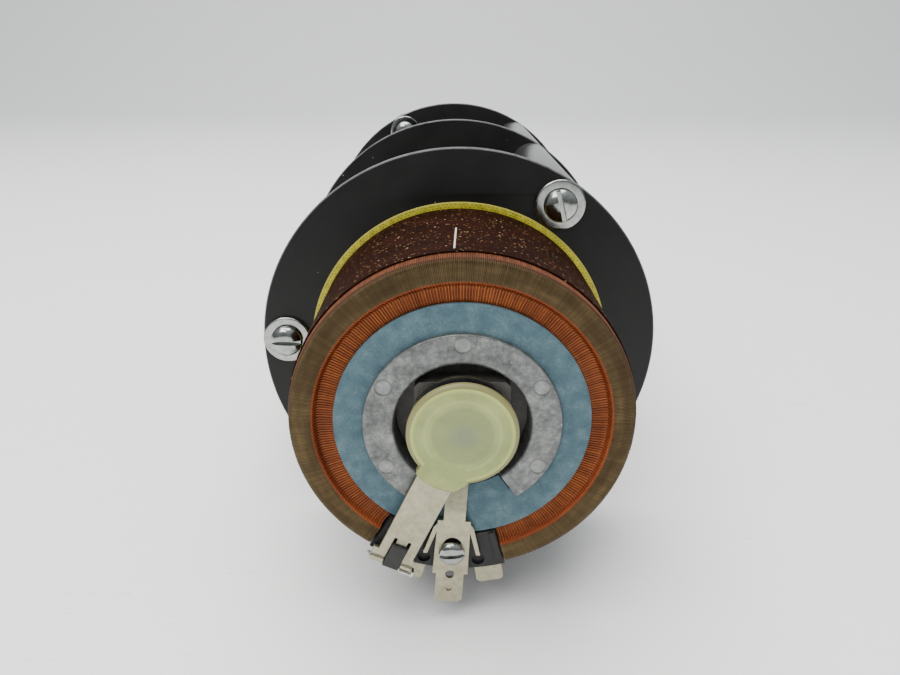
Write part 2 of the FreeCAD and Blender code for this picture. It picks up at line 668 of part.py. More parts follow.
def hub_cap(gang):
    """Milky plastic cap over the arm's root, with a tongue along the arm; the shaft passes two of them."""
    body = make_body("hub_cap_" + gang, brush_plane(gang), S["arm_angle"])
    face, radius, front, rear = S["cap_face"], S["cap_radius"], -S["cap_front"], -S["cap_rear"]
    inside = front + S["cap_skin"]
    wall = radius - S["cap_wall"]
    turned(body, [Outline((0, front), (face, front), (radius - 0.3, front + 0.15), (radius, front + 0.5),
                          (radius, rear), (wall, rear), (wall, inside), (0, inside))])
    reach = S["tongue_reach"]
    seat = -(S["arm_front"] + 0.04)
    slab(body, [Outline((wall - 1.5, -5.25), (reach - 1.45, -5.1), (reach - 0.5, -3.0), (reach, -0.5),
                        (reach - 0.15, 2.2), (reach - 0.8, 4.3), (reach - 1.85, 5.1), (wall - 1.1, 6.1),
                        (wall - 3.5, 8.6))], front, seat)
    if gang != GANGS[0]:
        hollow(body, [Circle(S["shaft_radius"] + 0.4)], front - 1, inside)
    return body


# ---------------------------------------------------------------------------------------------------
# Pieces that belong to the whole stack
# ---------------------------------------------------------------------------------------------------
def drive_shaft():
    """One shaft through all three gangs, out through the mounting plane, with a groove for its ring."""
    body = make_body("drive_shaft")
    front, rear = brush_plane(GANGS[0]) - S["shaft_front"], S["shaft_rear"]
    radius, groove, edge = S["shaft_radius"], S["groove_radius"], 0.4
    start = S["groove_front"]
    end = start + S["groove_width"]
    turned(body, [Outline((0, front), (radius - edge, front), (radius, front + edge), (radius, start),
                          (groove, start), (groove, end), (radius, end), (radius, rear - edge),
                          (radius - edge, rear), (0, rear))])
    return body


def retaining_ring():
    """Open spring ring in the shaft's groove, behind the stop collar."""
    body = make_body("retaining_ring")
    front = S["groove_front"] + 0.05
    rear = front + S["groove_width"] - 0.1
    slab(body, [Circle(S["clip_radius"]), Circle(S["groove_radius"] + 0.02)], front, rear)
    hollow(body, [rectangle(0, S["clip_radius"] + 1, -1.9, 1.9)], front, rear)
    return body


def shaft_bushes():
    """Flanged sintered bushes, one in each casting's web."""
    template = make_body("bush_template")
    bore = S["shaft_radius"] + S["bush_clearance"]
    outer, flange = S["bush_radius"], S["bush_flange"]
    rear = S["coil_depth"]
    web = rear - S["web_thick"] - 0.05
    turned(template, [Outline((bore, web - 1.1), (flange, web - 1.1), (flange, web), (outer, web),
                              (outer, rear), (bore, rear))])
    places = [around_shaft(0, brush_plane(gang).value) for gang in GANGS]
    return make_group("shaft_bushes", template, places)


def slotted_screw(name, head, height, shank, reach, slot, depth):
    """Template of a slotted pan-head screw whose head's underside is at Y = 0 and faces +Y."""
    body = make_body(name)
    turned(body, [Outline((0, -height), (head * 0.45, height * -0.96), (head * 0.78, height * -0.8),
                          (head * 0.96, height * -0.45), (head, height * -0.15), (head, 0), (shank, 0),
                          (shank, reach - 0.4), (shank - 0.4, reach), (0, reach))])
    hollow(body, [rectangle(-(head + 1), head + 1, slot * -0.5, slot * 0.5)], height * -1.0 - 0.5, depth - height)
    return body


def plate_screw_places(lift):
    """Places of the six plate screws or their washers, lifted off the plate towards the front."""
    front_plate = (brush_plane("front") + S["coil_depth"]).value - lift
    rear_plate = (brush_plane("rear") + S["coil_depth"]).value - lift
    circle = S["screw_circle"].value
    front_slots = (105, 178, 40)
    rear_slots = (20, 75, 140)
    places = [around_shaft(angle, front_plate, circle, spin)
              for angle, spin in zip(SPACER_ANGLES, front_slots)]
    places += [around_shaft(angle, rear_plate, circle, spin)
               for angle, spin in zip(MOUNTING_ANGLES, rear_slots)]
    return places


def plate_screws():
    """Slotted screws: three into the front spacers, three into the mounting posts."""
    template = slotted_screw("plate_screw_template", S["head_radius"], S["head_height"], S["stud_radius"],
                             S["screw_reach"], S["slot_width"], S["slot_depth"])
    return make_group("plate_screws", template, plate_screw_places(S["washer_thick"].value))


def plate_washers():
    """Broad flat washers under the plate screws."""
    template = make_body("plate_washer_template")
    radius, thick, edge, hole = S["washer_radius"], S["washer_thick"], S["washer_edge"], S["clear_hole"]
    turned(template, [Outline((hole, -thick), (radius - edge, -thick), (radius, edge - thick), (radius, 0),
                              (hole, 0))])
    return make_group("plate_washers", template, plate_screw_places(0))


def plate_spacers():
    """Round spacers between the plates, each with a tapped front end and a stud on its rear end."""
    template = make_body("spacer_template")
    length = S["gang_pitch"] - S["plate_thick"]
    radius, stud, hole = S["spacer_radius"], S["stud_radius"], S["tapped_radius"]
    edge = 0.5
    end = length + S["stud_length"]
    turned(template, [Outline((0, S["tapped_depth"]), (hole, S["tapped_depth"]), (hole, 0), (radius - edge, 0),
                              (radius, edge), (radius, length - edge), (radius - edge, length), (stud, length),
                              (stud, end - 0.4), (stud - 0.4, end), (0, end))])
    places = []
    for gang in GANGS[:2]:
        back = (brush_plane(gang) + S["coil_depth"] + S["plate_thick"]).value
        places += [around_shaft(angle, back, S["screw_circle"].value) for angle in SPACER_ANGLES]
    return make_group("plate_spacers", template, places)


def spacer_nuts():
    """Hexagon nuts on the last studs, behind the rear plate."""
    template = make_body("nut_template")
    flat = S["nut_flats"] * 0.5
    tip = S["nut_flats"] * (1 / math.sqrt(3))
    hexagon = Outline((tip, 0), (tip * 0.5, flat), (tip * -0.5, flat), (-tip, 0), (tip * -0.5, -flat),
                      (tip * 0.5, -flat))
    slab(template, [hexagon, Circle(S["tapped_radius"])], 0, S["nut_thick"])
    back = -S["post_length"].value
    places = [around_shaft(angle, back, S["screw_circle"].value, angle + 12) for angle in SPACER_ANGLES]
    return make_group("spacer_nuts", template, places)


def mounting_posts():
    """Short posts behind the rear plate with a tapped mounting hole each."""
    template = make_body("post_template")
    radius, length, edge = S["spacer_radius"], S["post_length"], 0.5
    turned(template, [Outline((0, S["post_front_depth"]), (S["tapped_radius"], S["post_front_depth"]),
                              (S["tapped_radius"], 0), (radius - edge, 0), (radius, edge),
                              (radius, length - edge), (radius - edge, length),
                              (S["post_hole_radius"], length),
                              (S["post_hole_radius"], length - S["post_hole_depth"]),
                              (0, length - S["post_hole_depth"]))])
    back = -S["post_length"].value
    places = [around_shaft(angle, back, S["screw_circle"].value) for angle in MOUNTING_ANGLES]
    return make_group("mounting_posts", template, places)


def casting_screws():
    """Three screws through each plate from behind into its casting."""
    template = slotted_screw("casting_screw_template", S["small_stud"] * 1.9, S["small_stud"] * 1.2,
                             S["small_stud"], S["plate_thick"] + 4.6, S["small_stud"] * 0.5,
                             S["small_stud"] * 0.6)
    turn_round = Placement(Vector(0, 0, 0), Rotation(ACROSS, 180))
    circle = S["casting_screw_circle"].value
    places = []
    for gang in GANGS:
        back = (brush_plane(gang) + S["coil_depth"] + S["plate_thick"]).value
        places += [around_shaft(angle, back, circle).multiply(turn_round) for angle in CASTING_SCREW_ANGLES]
    return make_group("casting_screws", template, places)


def takeoff_screws():
    """Slotted screw that clamps each take-off strip to its terminal block."""
    template = slotted_screw("takeoff_screw_template", S["clamp_head"], S["clamp_height"], S["small_stud"],
                             S["strip_lift"] + 2.5, S["slot_width"] * 0.8, S["slot_depth"] * 0.8)
    lift = S["strip_lift"].value
    places = [around_shaft(S["strip_angle"].value, brush_plane(gang).value - lift, S["clamp_reach"].value, 4)
              for gang in GANGS]
    return make_group("takeoff_screws", template, places)


def winding_tabs():
    """Two quick-connect tabs in each terminal block for the ends of the winding."""
    template = make_body("winding_tab_template")
    half, end, corner = S["tab_half"], S["winding_tab_reach"], S["tab_corner"]
    start = S["block_inner"] + 2.1
    front = S["winding_tab_front"]
    outline = Outline((start, -half), (end - corner, -half), (end, corner - half), (end, half - corner),
                      (end - corner, half), (start, half))
    slab(template, [outline], front, front + S["winding_tab_thick"])
    places = []
    for gang in GANGS:
        for side_sign in (-1, 1):
            angle = S["strip_angle"].value + side_sign * S["winding_tab_spread"].value
            places.append(around_shaft(angle, brush_plane(gang).value))
    return make_group("winding_tabs", template, places)


def hub_setscrews():
    """Set screw in the side of each brush hub."""
    template = make_body("setscrew_template")
    middle = (S["hub_step"] + S["hub_rear"]) * 0.5
    side_slab(template, [Circle(1.2, 0, middle)], S["shaft_radius"] + 0.05, S["hub_collar"] - 0.3)
    places = [around_shaft(S["arm_angle"].value, brush_plane(gang).value) for gang in GANGS]
    return make_group("hub_setscrews", template, places)


def brush_pins():
    """Pin through the arm's rolled ears and the carbon brush."""
    template = make_body("brush_pin_template")
    side_slab(template, [Circle(S["pin_radius"], S["pin_reach"], -S["pin_depth"])],
              -(S["ear_left"] + 0.8), S["ear_right"] + 0.3)
    places = [around_shaft(S["arm_angle"].value, brush_plane(gang).value) for gang in GANGS]
    return make_group("brush_pins", template, places)


def brush_springs():
    """Spring wire in front of the right ear's roll: out from the pin's end and back along the roll."""
    template = make_body("brush_spring_template")
    radius, reach = S["spring_radius"], S["pin_reach"] + S["spring_out"]
    depth = -(S["pin_depth"] + S["spring_ahead"])
    side_slab(template, [Circle(radius, reach, depth)], S["brush_half"] + 0.35, S["ear_right"] + 0.55)
    hook = S["ear_right"] + 0.35
    slab(template, [rectangle(S["pin_reach"] - 0.2, reach + radius, hook, hook + 0.45)],
         depth - radius, -S["pin_depth"])
    places = [around_shaft(S["arm_angle"].value, brush_plane(gang).value) for gang in GANGS]
    return make_group("brush_springs", template, places)


def contact_washers():
    """Dished washer that carries the current from each arm to its collector ring."""
    template = make_body("contact_washer_template")
    front = S["arm_thick"] - S["arm_front"] + 0.03
    rear = S["ring_depth"] - 0.04
    inner, outer, thick = S["hub_sleeve"] + 0.1, S["ring_radius"] - 0.2, 0.3
    turned(template, [Outline((inner, front), (inner + 0.6, front), (outer, rear - thick), (outer, rear),
                              (outer - 0.6, rear), (inner, front + thick))])
    places = [around_shaft(0, brush_plane(gang).value) for gang in GANGS]
    return make_group("contact_washers", template, places)


def stop_collar():
    """Collar with a finger on the shaft behind the rear plate; it limits the travel."""
    body = make_body("stop_collar", -10, S["stop_angle"] - S["stop_lead"])
    bore = Circle(S["shaft_radius"] + S["shaft_fit"])
    thick = 6
    slab(body, [Circle(8.0), bore], 0, thick)
    half = S["stop_half"]
    slab(body, [rectangle(6.0, S["stop_reach"] + 2.6, -half, half)], 0, thick)
    return body


def stop_pin():
    """Pin on the rear plate that the stop collar's finger meets."""
    body = make_body("stop_pin", -S["post_length"], S["stop_angle"])
    slab(body, [Circle(S["stop_pin_radius"], S["stop_reach"])], 0, 9)
    return body


# ---------------------------------------------------------------------------------------------------
# Build, check and write
# ---------------------------------------------------------------------------------------------------
PER_GANG = (base_plate, gasket, core, winding, outer_sleeve, insulating_disc, hub_casting,
            collector_insulator, takeoff_strip, terminal_block, brush_hub, brush_arm, brush, hub_cap)
SHARED = (drive_shaft, shaft_bushes, plate_spacers, plate_screws, plate_washers, spacer_nuts,
          mounting_posts, casting_screws, takeoff_screws, winding_tabs, hub_setscrews, brush_pins,
          brush_springs, contact_washers, stop_collar, stop_pin, retaining_ring)


def build():
    """Make every sub-part and return them."""
    made = [make(gang) for gang in GANGS for make in PER_GANG]
    made += [make() for make in SHARED]
    doc.recompute()
    return made


def check(parts):
    """Stop if an object failed, a cut removed nothing, or a sub-part isn't a valid solid."""
    for item in doc.Objects:
        if "Invalid" in item.State or "Error" in item.State:
            raise RuntimeError("%s failed: %s" % (item.Name, item.State))
        if item.TypeId == "PartDesign::Pocket":
            if item.Shape.Volume > item.BaseFeature.Shape.Volume - 1e-4:
                raise RuntimeError("%s cuts nothing" % item.Name)
    for part in parts:
        if part.Shape.isNull() or not part.Shape.isValid() or not part.Shape.Solids:
            raise RuntimeError("%s has no valid solid" % part.Label)


def write(parts):
    """Write one STEP file for each sub-part."""
    os.makedirs("parts", exist_ok=True)
    for part in parts:
        part.Shape.exportStep("parts/%s.step" % part.Label)
        box = part.Shape.BoundBox
        print("%-28s solids %d  volume %9.2f  x %7.2f %7.2f  y %7.2f %7.2f  z %7.2f %7.2f" % (
            part.Label, len(part.Shape.Solids), part.Shape.Volume,
            box.XMin, box.XMax, box.YMin, box.YMax, box.ZMin, box.ZMax))


sub_parts = build()
check(sub_parts)
write(sub_parts)
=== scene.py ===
"""Visual model of a three-gang open-frame variable autotransformer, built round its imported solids.

Lengths are in millimetres until a mesh is written, and the axes are the stack's own: +Z up, the shaft along Y
with its front towards -Y.  Angles are read from the front, where 0 is +X and 90 is up.  Each gang's own depth
is counted from its brush plane towards the rear.
"""

import json
import logging
import math
from dataclasses import dataclass
from enum import Enum

import bmesh
import bpy
import numpy as np
from mathutils import Matrix, Vector
from mathutils.geometry import tessellate_polygon


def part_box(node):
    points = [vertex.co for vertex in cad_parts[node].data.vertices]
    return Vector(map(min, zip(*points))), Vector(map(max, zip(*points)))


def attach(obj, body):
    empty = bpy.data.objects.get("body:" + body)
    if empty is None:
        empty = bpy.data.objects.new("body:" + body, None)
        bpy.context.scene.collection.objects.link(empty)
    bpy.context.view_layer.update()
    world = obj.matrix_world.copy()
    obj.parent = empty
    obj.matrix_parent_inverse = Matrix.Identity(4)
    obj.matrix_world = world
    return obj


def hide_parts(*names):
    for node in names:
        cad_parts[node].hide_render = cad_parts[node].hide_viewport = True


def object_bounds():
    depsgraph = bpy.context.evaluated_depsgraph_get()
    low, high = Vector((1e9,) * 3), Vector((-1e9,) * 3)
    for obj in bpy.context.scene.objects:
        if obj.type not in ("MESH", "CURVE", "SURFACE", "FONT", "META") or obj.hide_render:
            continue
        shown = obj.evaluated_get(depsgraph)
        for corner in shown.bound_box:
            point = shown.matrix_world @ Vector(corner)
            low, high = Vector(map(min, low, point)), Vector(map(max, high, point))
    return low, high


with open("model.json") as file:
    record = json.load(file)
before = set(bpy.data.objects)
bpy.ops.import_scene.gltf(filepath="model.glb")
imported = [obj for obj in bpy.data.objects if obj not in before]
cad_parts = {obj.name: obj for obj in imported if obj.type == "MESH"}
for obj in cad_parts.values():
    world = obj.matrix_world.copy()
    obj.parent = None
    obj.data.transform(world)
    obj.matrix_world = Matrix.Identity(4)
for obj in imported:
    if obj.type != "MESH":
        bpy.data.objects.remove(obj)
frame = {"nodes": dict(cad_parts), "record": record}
CAD_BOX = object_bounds()

log = logging.getLogger("autotransformer")
Array = np.ndarray
MM = 0.001
Triple = tuple[float, float, float]
GANGS = ("front", "middle", "rear")
COIL_DEPTH = 43.3
COIL_REAR = 42.5
PLATE_THICK = 2.0
BRUSH_ANGLE = 245.0
STRIP_ANGLE = 266.1
SCREW_CIRCLE = 45.3
SPACER_ANGLES = (57.0, 177.0, 297.0)
POST_ANGLES = (117.0, 237.0, 357.0)
CASTING_CIRCLE = 11.5
CASTING_ANGLES = (30.0, 150.0, 270.0)
CREASE = 32.0


class Slot(Enum):
    """The record's material slots."""

    ENAMEL = "black_enamel"
    ZINC = "zinc_plate"
    CASTING = "die_cast_aluminium"
    SPACER = "spacer_aluminium"
    WIRE = "copper_wire"
    CORE = "core_steel"
    WRAP = "varnished_wrap"
    CLOTH = "varnished_cloth"
    PRESSBOARD = "blue_pressboard"
    PHENOLIC = "black_phenolic"
    GREY_PHENOLIC = "grey_phenolic"
    TIN = "tinned_brass"
    STEEL = "turned_steel"
    BLACK_OXIDE = "black_oxide_steel"
    SPRING = "spring_steel"
    BRONZE = "sintered_bronze"
    CARBON = "carbon"
    NYLON = "milky_nylon"


# ------------------------------------------------------------------------------------------ shader maths
class Signal:
    """A number that varies over a surface; arithmetic on it adds Math nodes."""

    def __init__(self, paint: "Paint", socket: bpy.types.NodeSocket) -> None:
        """Wrap a socket of a paint's node tree."""
        self.paint = paint
        self.socket = socket

    def _math(self, operation: str, *values: "Signal | float") -> "Signal":
        """Result of one Math node with these operands."""
        node = self.paint.node("ShaderNodeMath", {"operation": operation}, dict(enumerate(values)))
        return Signal(self.paint, node.outputs[0])

    def __add__(self, other: "Signal | float") -> "Signal":
        """self + other."""
        return self._math("ADD", self, other)

    __radd__ = __add__

    def __sub__(self, other: "Signal | float") -> "Signal":
        """self - other."""
        return self._math("SUBTRACT", self, other)

    def __rsub__(self, other: float) -> "Signal":
        """other - self."""
        return self._math("SUBTRACT", other, self)

    def __mul__(self, other: "Signal | float") -> "Signal":
        """self * other."""
        return self._math("MULTIPLY", self, other)

    __rmul__ = __mul__

    def __truediv__(self, other: "Signal | float") -> "Signal":
        """self / other."""
        return self._math("DIVIDE", self, other)

    def fraction(self) -> "Signal":
        """The part after the decimal point."""
        return self._math("FRACT", self)

    def whole(self) -> "Signal":
        """The whole number below."""
        return self._math("FLOOR", self)

    def size(self) -> "Signal":
        """The number without its sign."""
        return self._math("ABSOLUTE", self)

    def length_with(self, other: "Signal") -> "Signal":
        """Square root of the two squares' sum."""
        return self._math("SQRT", self * self + other * other)

    def above(self, edge: float, soft: float) -> "Signal":
        """1 where the number is above an edge, 0 below it, with a smooth step of half-width soft."""
        node = self.paint.node("ShaderNodeMapRange", {"interpolation_type": "SMOOTHSTEP"},
                               {"Value": self, "From Min": edge - soft, "From Max": edge + soft})
        return Signal(self.paint, node.outputs[0])

    def between(self, low: float, high: float, soft: float) -> "Signal":
        """1 between two numbers, with soft edges."""
        return self.above(low, soft) * (1 - self.above(high, soft))


class Paint:
    """One material under construction: a Principled shader and what feeds it."""

    def __init__(self, name: str) -> None:
        """Start a material with a bare Principled shader."""
        self.material = bpy.data.materials.new(name)
        self.material.use_nodes = True
        tree = self.material.node_tree
        self.nodes, self.links = tree.nodes, tree.links
        self.shader = self.nodes["Principled BSDF"]

    def node(self, kind: str, settings: dict | None = None, sockets: dict | None = None) -> bpy.types.Node:
        """Add a node.

        Args:
            kind: the node's type.
            settings: its properties, and "stops" for a colour ramp.
            sockets: values, signals or sockets for its inputs, by name or number.
        """
        made = self.nodes.new(kind)
        for key, value in (settings or {}).items():
            if key == "stops":
                ramp = made.color_ramp
                while len(ramp.elements) < len(value):
                    ramp.elements.new(1.0)
                for element, (place, colour) in zip(ramp.elements, value):
                    element.position = place
                    element.color = (*colour, 1.0)
            else:
                setattr(made, key, value)
        for key, value in (sockets or {}).items():
            self.feed(made.inputs[key], value)
        return made

    def feed(self, entry: bpy.types.NodeSocket, value: object) -> None:
        """Link a signal or a socket to an input, or set the input's own value."""
        if isinstance(value, Signal):
            self.links.new(value.socket, entry)
        elif isinstance(value, bpy.types.NodeSocket):
            self.links.new(value, entry)
        elif isinstance(value, tuple) and len(value) == 3 and entry.type == "RGBA":
            entry.default_value = (*value, 1.0)
        else:
            entry.default_value = value

    def set(self, **inputs: object) -> None:
        """Feed the Principled shader's inputs, named with underscores for spaces."""
        for key, value in inputs.items():
            self.feed(self.shader.inputs[key.replace("_", " ")], value)

    def place(self) -> bpy.types.NodeSocket:
        """Object coordinates."""
        return self.node("ShaderNodeTexCoord").outputs["Object"]

    def mapped(self, scale: Triple, turn: Triple = (0.0, 0.0, 0.0)) -> bpy.types.NodeSocket:
        """Object coordinates, turned and scaled."""
        return self.node("ShaderNodeMapping", None, {0: self.place(), 2: turn, 3: scale}).outputs[0]

    def parts(self, vector: bpy.types.NodeSocket) -> tuple[Signal, Signal, Signal]:
        """A vector's three numbers."""
        split = self.node("ShaderNodeSeparateXYZ", None, {0: vector})
        return tuple(Signal(self, out) for out in split.outputs)

    def axes(self) -> tuple[Signal, Signal, Signal]:
        """Object coordinates in millimetres, one signal each."""
        return tuple(part * (1 / MM) for part in self.parts(self.place()))

    def lay(self) -> tuple[Signal, Signal, Signal]:
        """The mesh's own "lay" attribute, one signal for each number."""
        return self.parts(self.node("ShaderNodeAttribute", {"attribute_name": "lay"}).outputs["Vector"])

    def noise(self, grain: float, detail: float = 3.0, rough: float = 0.55,
              vector: bpy.types.NodeSocket | None = None) -> Signal:
        """Noise between 0 and 1.

        Args:
            grain: size of its blotches in millimetres, or in the vector's own unit.
            detail: number of finer layers.
            rough: weight of the finer layers.
            vector: coordinates in place of Object coordinates.
        """
        scale = 1 / grain if vector is not None else 1 / (grain * MM)
        node = self.node("ShaderNodeTexNoise", None, {
            "Vector": vector if vector is not None else self.place(),
            "Scale": scale, "Detail": detail, "Roughness": rough})
        return Signal(self, node.outputs["Fac"])

    def specks(self, pitch: float, radius: float) -> Signal:
        """Sparse round specks: 1 within a radius of a scattered point.

        Args:
            pitch: distance between the points in millimetres.
            radius: speck's radius as a share of the pitch.
        """
        node = self.node("ShaderNodeTexVoronoi", None, {"Vector": self.place(), "Scale": 1 / (pitch * MM)})
        return 1 - Signal(self, node.outputs["Distance"]).above(radius, radius * 0.3)

    def combine(self, x: "Signal | float", y: "Signal | float", z: "Signal | float") -> bpy.types.NodeSocket:
        """A vector of three numbers."""
        return self.node("ShaderNodeCombineXYZ", None, {0: x, 1: y, 2: z}).outputs[0]

    def mix(self, under: object, over: object, share: "Signal | float") -> bpy.types.NodeSocket:
        """Blend two colours: under where the share is 0, over where it is 1."""
        node = self.node("ShaderNodeMix", {"data_type": "RGBA"}, {0: share, 6: under, 7: over})
        return node.outputs[2]

    def ramp(self, signal: Signal, *stops: tuple[float, Triple]) -> bpy.types.NodeSocket:
        """Colours along a signal from 0 to 1."""
        return self.node("ShaderNodeValToRGB", {"stops": stops}, {0: signal}).outputs[0]

    def relief(self, height: Signal, depth: float, strength: float = 1.0) -> bpy.types.NodeSocket:
        """Bumped normal: a relief from 0 to 1, its depth in millimetres, and how much of it shows."""
        node = self.node("ShaderNodeBump", None, {"Height": height, "Distance": depth * MM,
                                                  "Strength": strength})
        return node.outputs[0]


# ---------------------------------------------------------------------------------------------- finishes
@dataclass(frozen=True)
class Finish:
    """Base of the finishes: a recipe."""

    def coat(self, paint: Paint) -> None:
        """Build the finish in a paint's node tree."""
        raise NotImplementedError


@dataclass(frozen=True)
class SatinEnamel(Finish):
    """Fine-grained black enamel with paler edges, partly wear and partly a painted highlight, and a little
    dust.
    """

    rim: float = 51.28

    def coat(self, paint: Paint) -> None:
        """Dark base, a paler rim where the radius passes the edge's (patchy wear with a painted highlight),
        dust specks, fine orange peel.
        """
        x, _, z = paint.axes()
        cloud = paint.noise(9.0)
        base = paint.ramp(cloud, (0.3, (0.0045, 0.0044, 0.0042)), (0.7, (0.0085, 0.0082, 0.0078)))
        # The pale rim is partly edge wear and partly a painted highlight along the chamfer.
        worn = x.length_with(z).above(self.rim, 0.06) * paint.noise(2.5, 4.0).above(0.36, 0.2)
        base = paint.mix(base, (0.15, 0.15, 0.155), worn * 0.75)
        dust = paint.specks(5.5, 0.035) * paint.noise(3.0).above(0.5, 0.05)
        base = paint.mix(base, (0.45, 0.45, 0.45), dust)
        paint.set(Base_Color=base, Roughness=0.36 + cloud * 0.16 + dust * 0.3, Specular_IOR_Level=0.26,
                  Normal=paint.relief(paint.noise(0.16, 2.0), 0.006, 0.5))


@dataclass(frozen=True)
class Metal(Finish):
    """Bare or plated metal with mottling and, where it was turned or rolled, a fine grain."""

    dark: Triple
    light: Triple
    roughness: float
    mottle: float
    grain: float = 0.15
    relief: float = 0.004
    stretch: Triple = (1.0, 1.0, 1.0)
    metallic: float = 1.0
    bite: float = 0.18

    def coat(self, paint: Paint) -> None:
        """Cloudy tint between two tones, roughness that follows it, and a grain stretched along the work."""
        cloud = paint.noise(self.mottle, 5.0, 0.6)
        fine = paint.noise(self.mottle * 0.22, 3.0)
        tone = paint.ramp(cloud * 0.65 + fine * 0.35, (0.32, self.dark), (0.68, self.light))
        lines = paint.noise(self.grain * MM, 2.0, 0.6, paint.mapped(self.stretch))
        paint.set(Base_Color=tone, Metallic=self.metallic,
                  Roughness=self.roughness + (cloud - 0.5) * self.bite + (lines - 0.5) * 0.10,
                  Normal=paint.relief(lines, self.relief, 0.6))


@dataclass(frozen=True)
class RolledTin(Metal):
    """Tinned sheet, burnished where an arm's ears are rolled round their pin."""

    aim: float = BRUSH_ANGLE
    edge: float = 36.6
    reach: float = 5.4

    def coat(self, paint: Paint) -> None:
        """The sheet's own tone; the distance along the arm picks out the rolls, which are smoother."""
        super().coat(paint)
        x, _, z = paint.axes()
        turn = math.radians(self.aim)
        along = x * math.cos(turn) + z * math.sin(turn)
        across = z * math.cos(turn) - x * math.sin(turn)
        roll = along.above(self.edge, 0.1) * (1 - across.size().above(self.reach, 0.05))
        rough = Signal(paint, paint.shader.inputs["Roughness"].links[0].from_socket)
        paint.set(Roughness=rough - roll * 0.16)


@dataclass(frozen=True)
class DieCast(Finish):
    """Dull as-cast metal with flow marks, soft stains and scattered bright nicks."""

    def coat(self, paint: Paint) -> None:
        """Two scales of cloud over grey, with pale flow swirls and small nicks."""
        groove, well = paint.lay()[:2]
        cloud = paint.noise(4.2, 6.0, 0.68)
        flow = paint.noise(1.1, 4.0, 0.72)
        tone = paint.ramp(cloud * 0.6 + flow * 0.4, (0.36, (0.074, 0.077, 0.075)),
                          (0.5, (0.152, 0.158, 0.154)), (0.64, (0.275, 0.285, 0.275)))
        nicks = paint.specks(1.5, 0.08) * paint.noise(2.2).above(0.50, 0.04)
        tone = paint.mix(tone, (0.80, 0.81, 0.80), nicks * 0.7)
        # Painted shade in the grooves round the ejector marks.
        tone = paint.mix(tone, (0.085, 0.085, 0.08), groove * 0.55)
        tone = paint.mix(tone, (0.42, 0.43, 0.42), well * 0.2)
        paint.set(Base_Color=tone, Metallic=0.7, Roughness=0.52 - flow * 0.16 - nicks * 0.2,
                  Normal=paint.relief(flow * 0.6 + paint.noise(0.3, 2.0) * 0.4, 0.04, 0.6))


@dataclass(frozen=True)
class Winding(Finish):
    """Enamelled copper wire, bared and browned along the brush track; its zones go by radius and depth."""

    # Start of the darker, redder ring over the ramp, then the span of the thin painted shadow at the ramp's
    # foot.
    ramp_red: float = 30.85
    line: tuple[float, float] = (30.82, 31.02)
    track: tuple[float, float] = (31.85, 36.3)
    rim: float = 36.35
    band: tuple[float, float] = (36.0, 0.9)

    def coat(self, paint: Paint) -> None:
        """Bright enamel inside, a darker, redder ring over the ramp with a thin painted shadow at its foot, a
        bared track, a pinkish band round the rim, and painted shade between the turns.
        """
        wire, radius, depth = paint.lay()
        each = paint.node("ShaderNodeTexWhiteNoise", {"noise_dimensions": "1D"}, {"W": wire.whole()})
        own = Signal(paint, each.outputs["Value"])
        cloud = paint.noise(1.0, 4.0, 0.6, paint.combine(wire * 0.02, radius * 0.25, depth * 0.2))
        crest = 1 - (wire.fraction() - 0.5).size() * 2
        enamel = paint.ramp(own * 0.25 + cloud * 0.75, (0.25, (0.15, 0.034, 0.010)),
                            (0.5, (0.245, 0.064, 0.018)), (0.78, (0.40, 0.110, 0.024)))
        ramp_red = paint.ramp(cloud, (0.3, (0.20, 0.040, 0.012)), (0.7, (0.36, 0.080, 0.020)))
        bared = paint.ramp(own * 0.12 + cloud * 0.88, (0.28, (0.045, 0.031, 0.014)),
                           (0.5, (0.083, 0.057, 0.027)), (0.74, (0.160, 0.110, 0.048)))
        band = paint.ramp(own * 0.4 + cloud * 0.6, (0.3, (0.10, 0.030, 0.011)), (0.7, (0.18, 0.058, 0.021)))
        # Over the ramp up to the track the turns are darker and redder.
        tone = paint.mix(enamel, ramp_red, radius.above(self.ramp_red, 0.12))
        # Painted shadow: a thin dark line at the foot of the ramp.
        tone = paint.mix(tone, (0.060, 0.014, 0.006), radius.between(*self.line, 0.09) * 0.35)
        worn = radius.above(self.track[0], 0.22) + (cloud - 0.5) * 0.1
        tone = paint.mix(tone, bared, worn)
        edge = radius.above(self.rim, 0.1)
        tone = paint.mix(tone, (0.065, 0.024, 0.008), edge)
        tone = paint.mix(tone, band, depth.above(self.band[1], 0.25) * radius.above(self.band[0], 0.1))
        flat_share = radius.between(*self.track, 0.2)
        # Painted shade in the crevices between the turns, lighter on the flattened track and at the rim.
        crevice_shade = (1 - crest.above(0.32, 0.3)) * (1 - edge * 0.45) * (1 - flat_share * 0.62)
        tone = paint.mix(tone, (0.022, 0.010, 0.006), crevice_shade * 0.65)
        paint.set(Base_Color=tone, Metallic=0.55 + flat_share * 0.15 - edge * 0.35,
                  Roughness=0.38 + flat_share * 0.06 + edge * 0.20 + crevice_shade * 0.25 + (own - 0.5) * 0.08,
                  Coat_Weight=(1 - flat_share) * (1 - edge) * 0.15, Coat_Roughness=0.25,
                  Specular_IOR_Level=0.2)


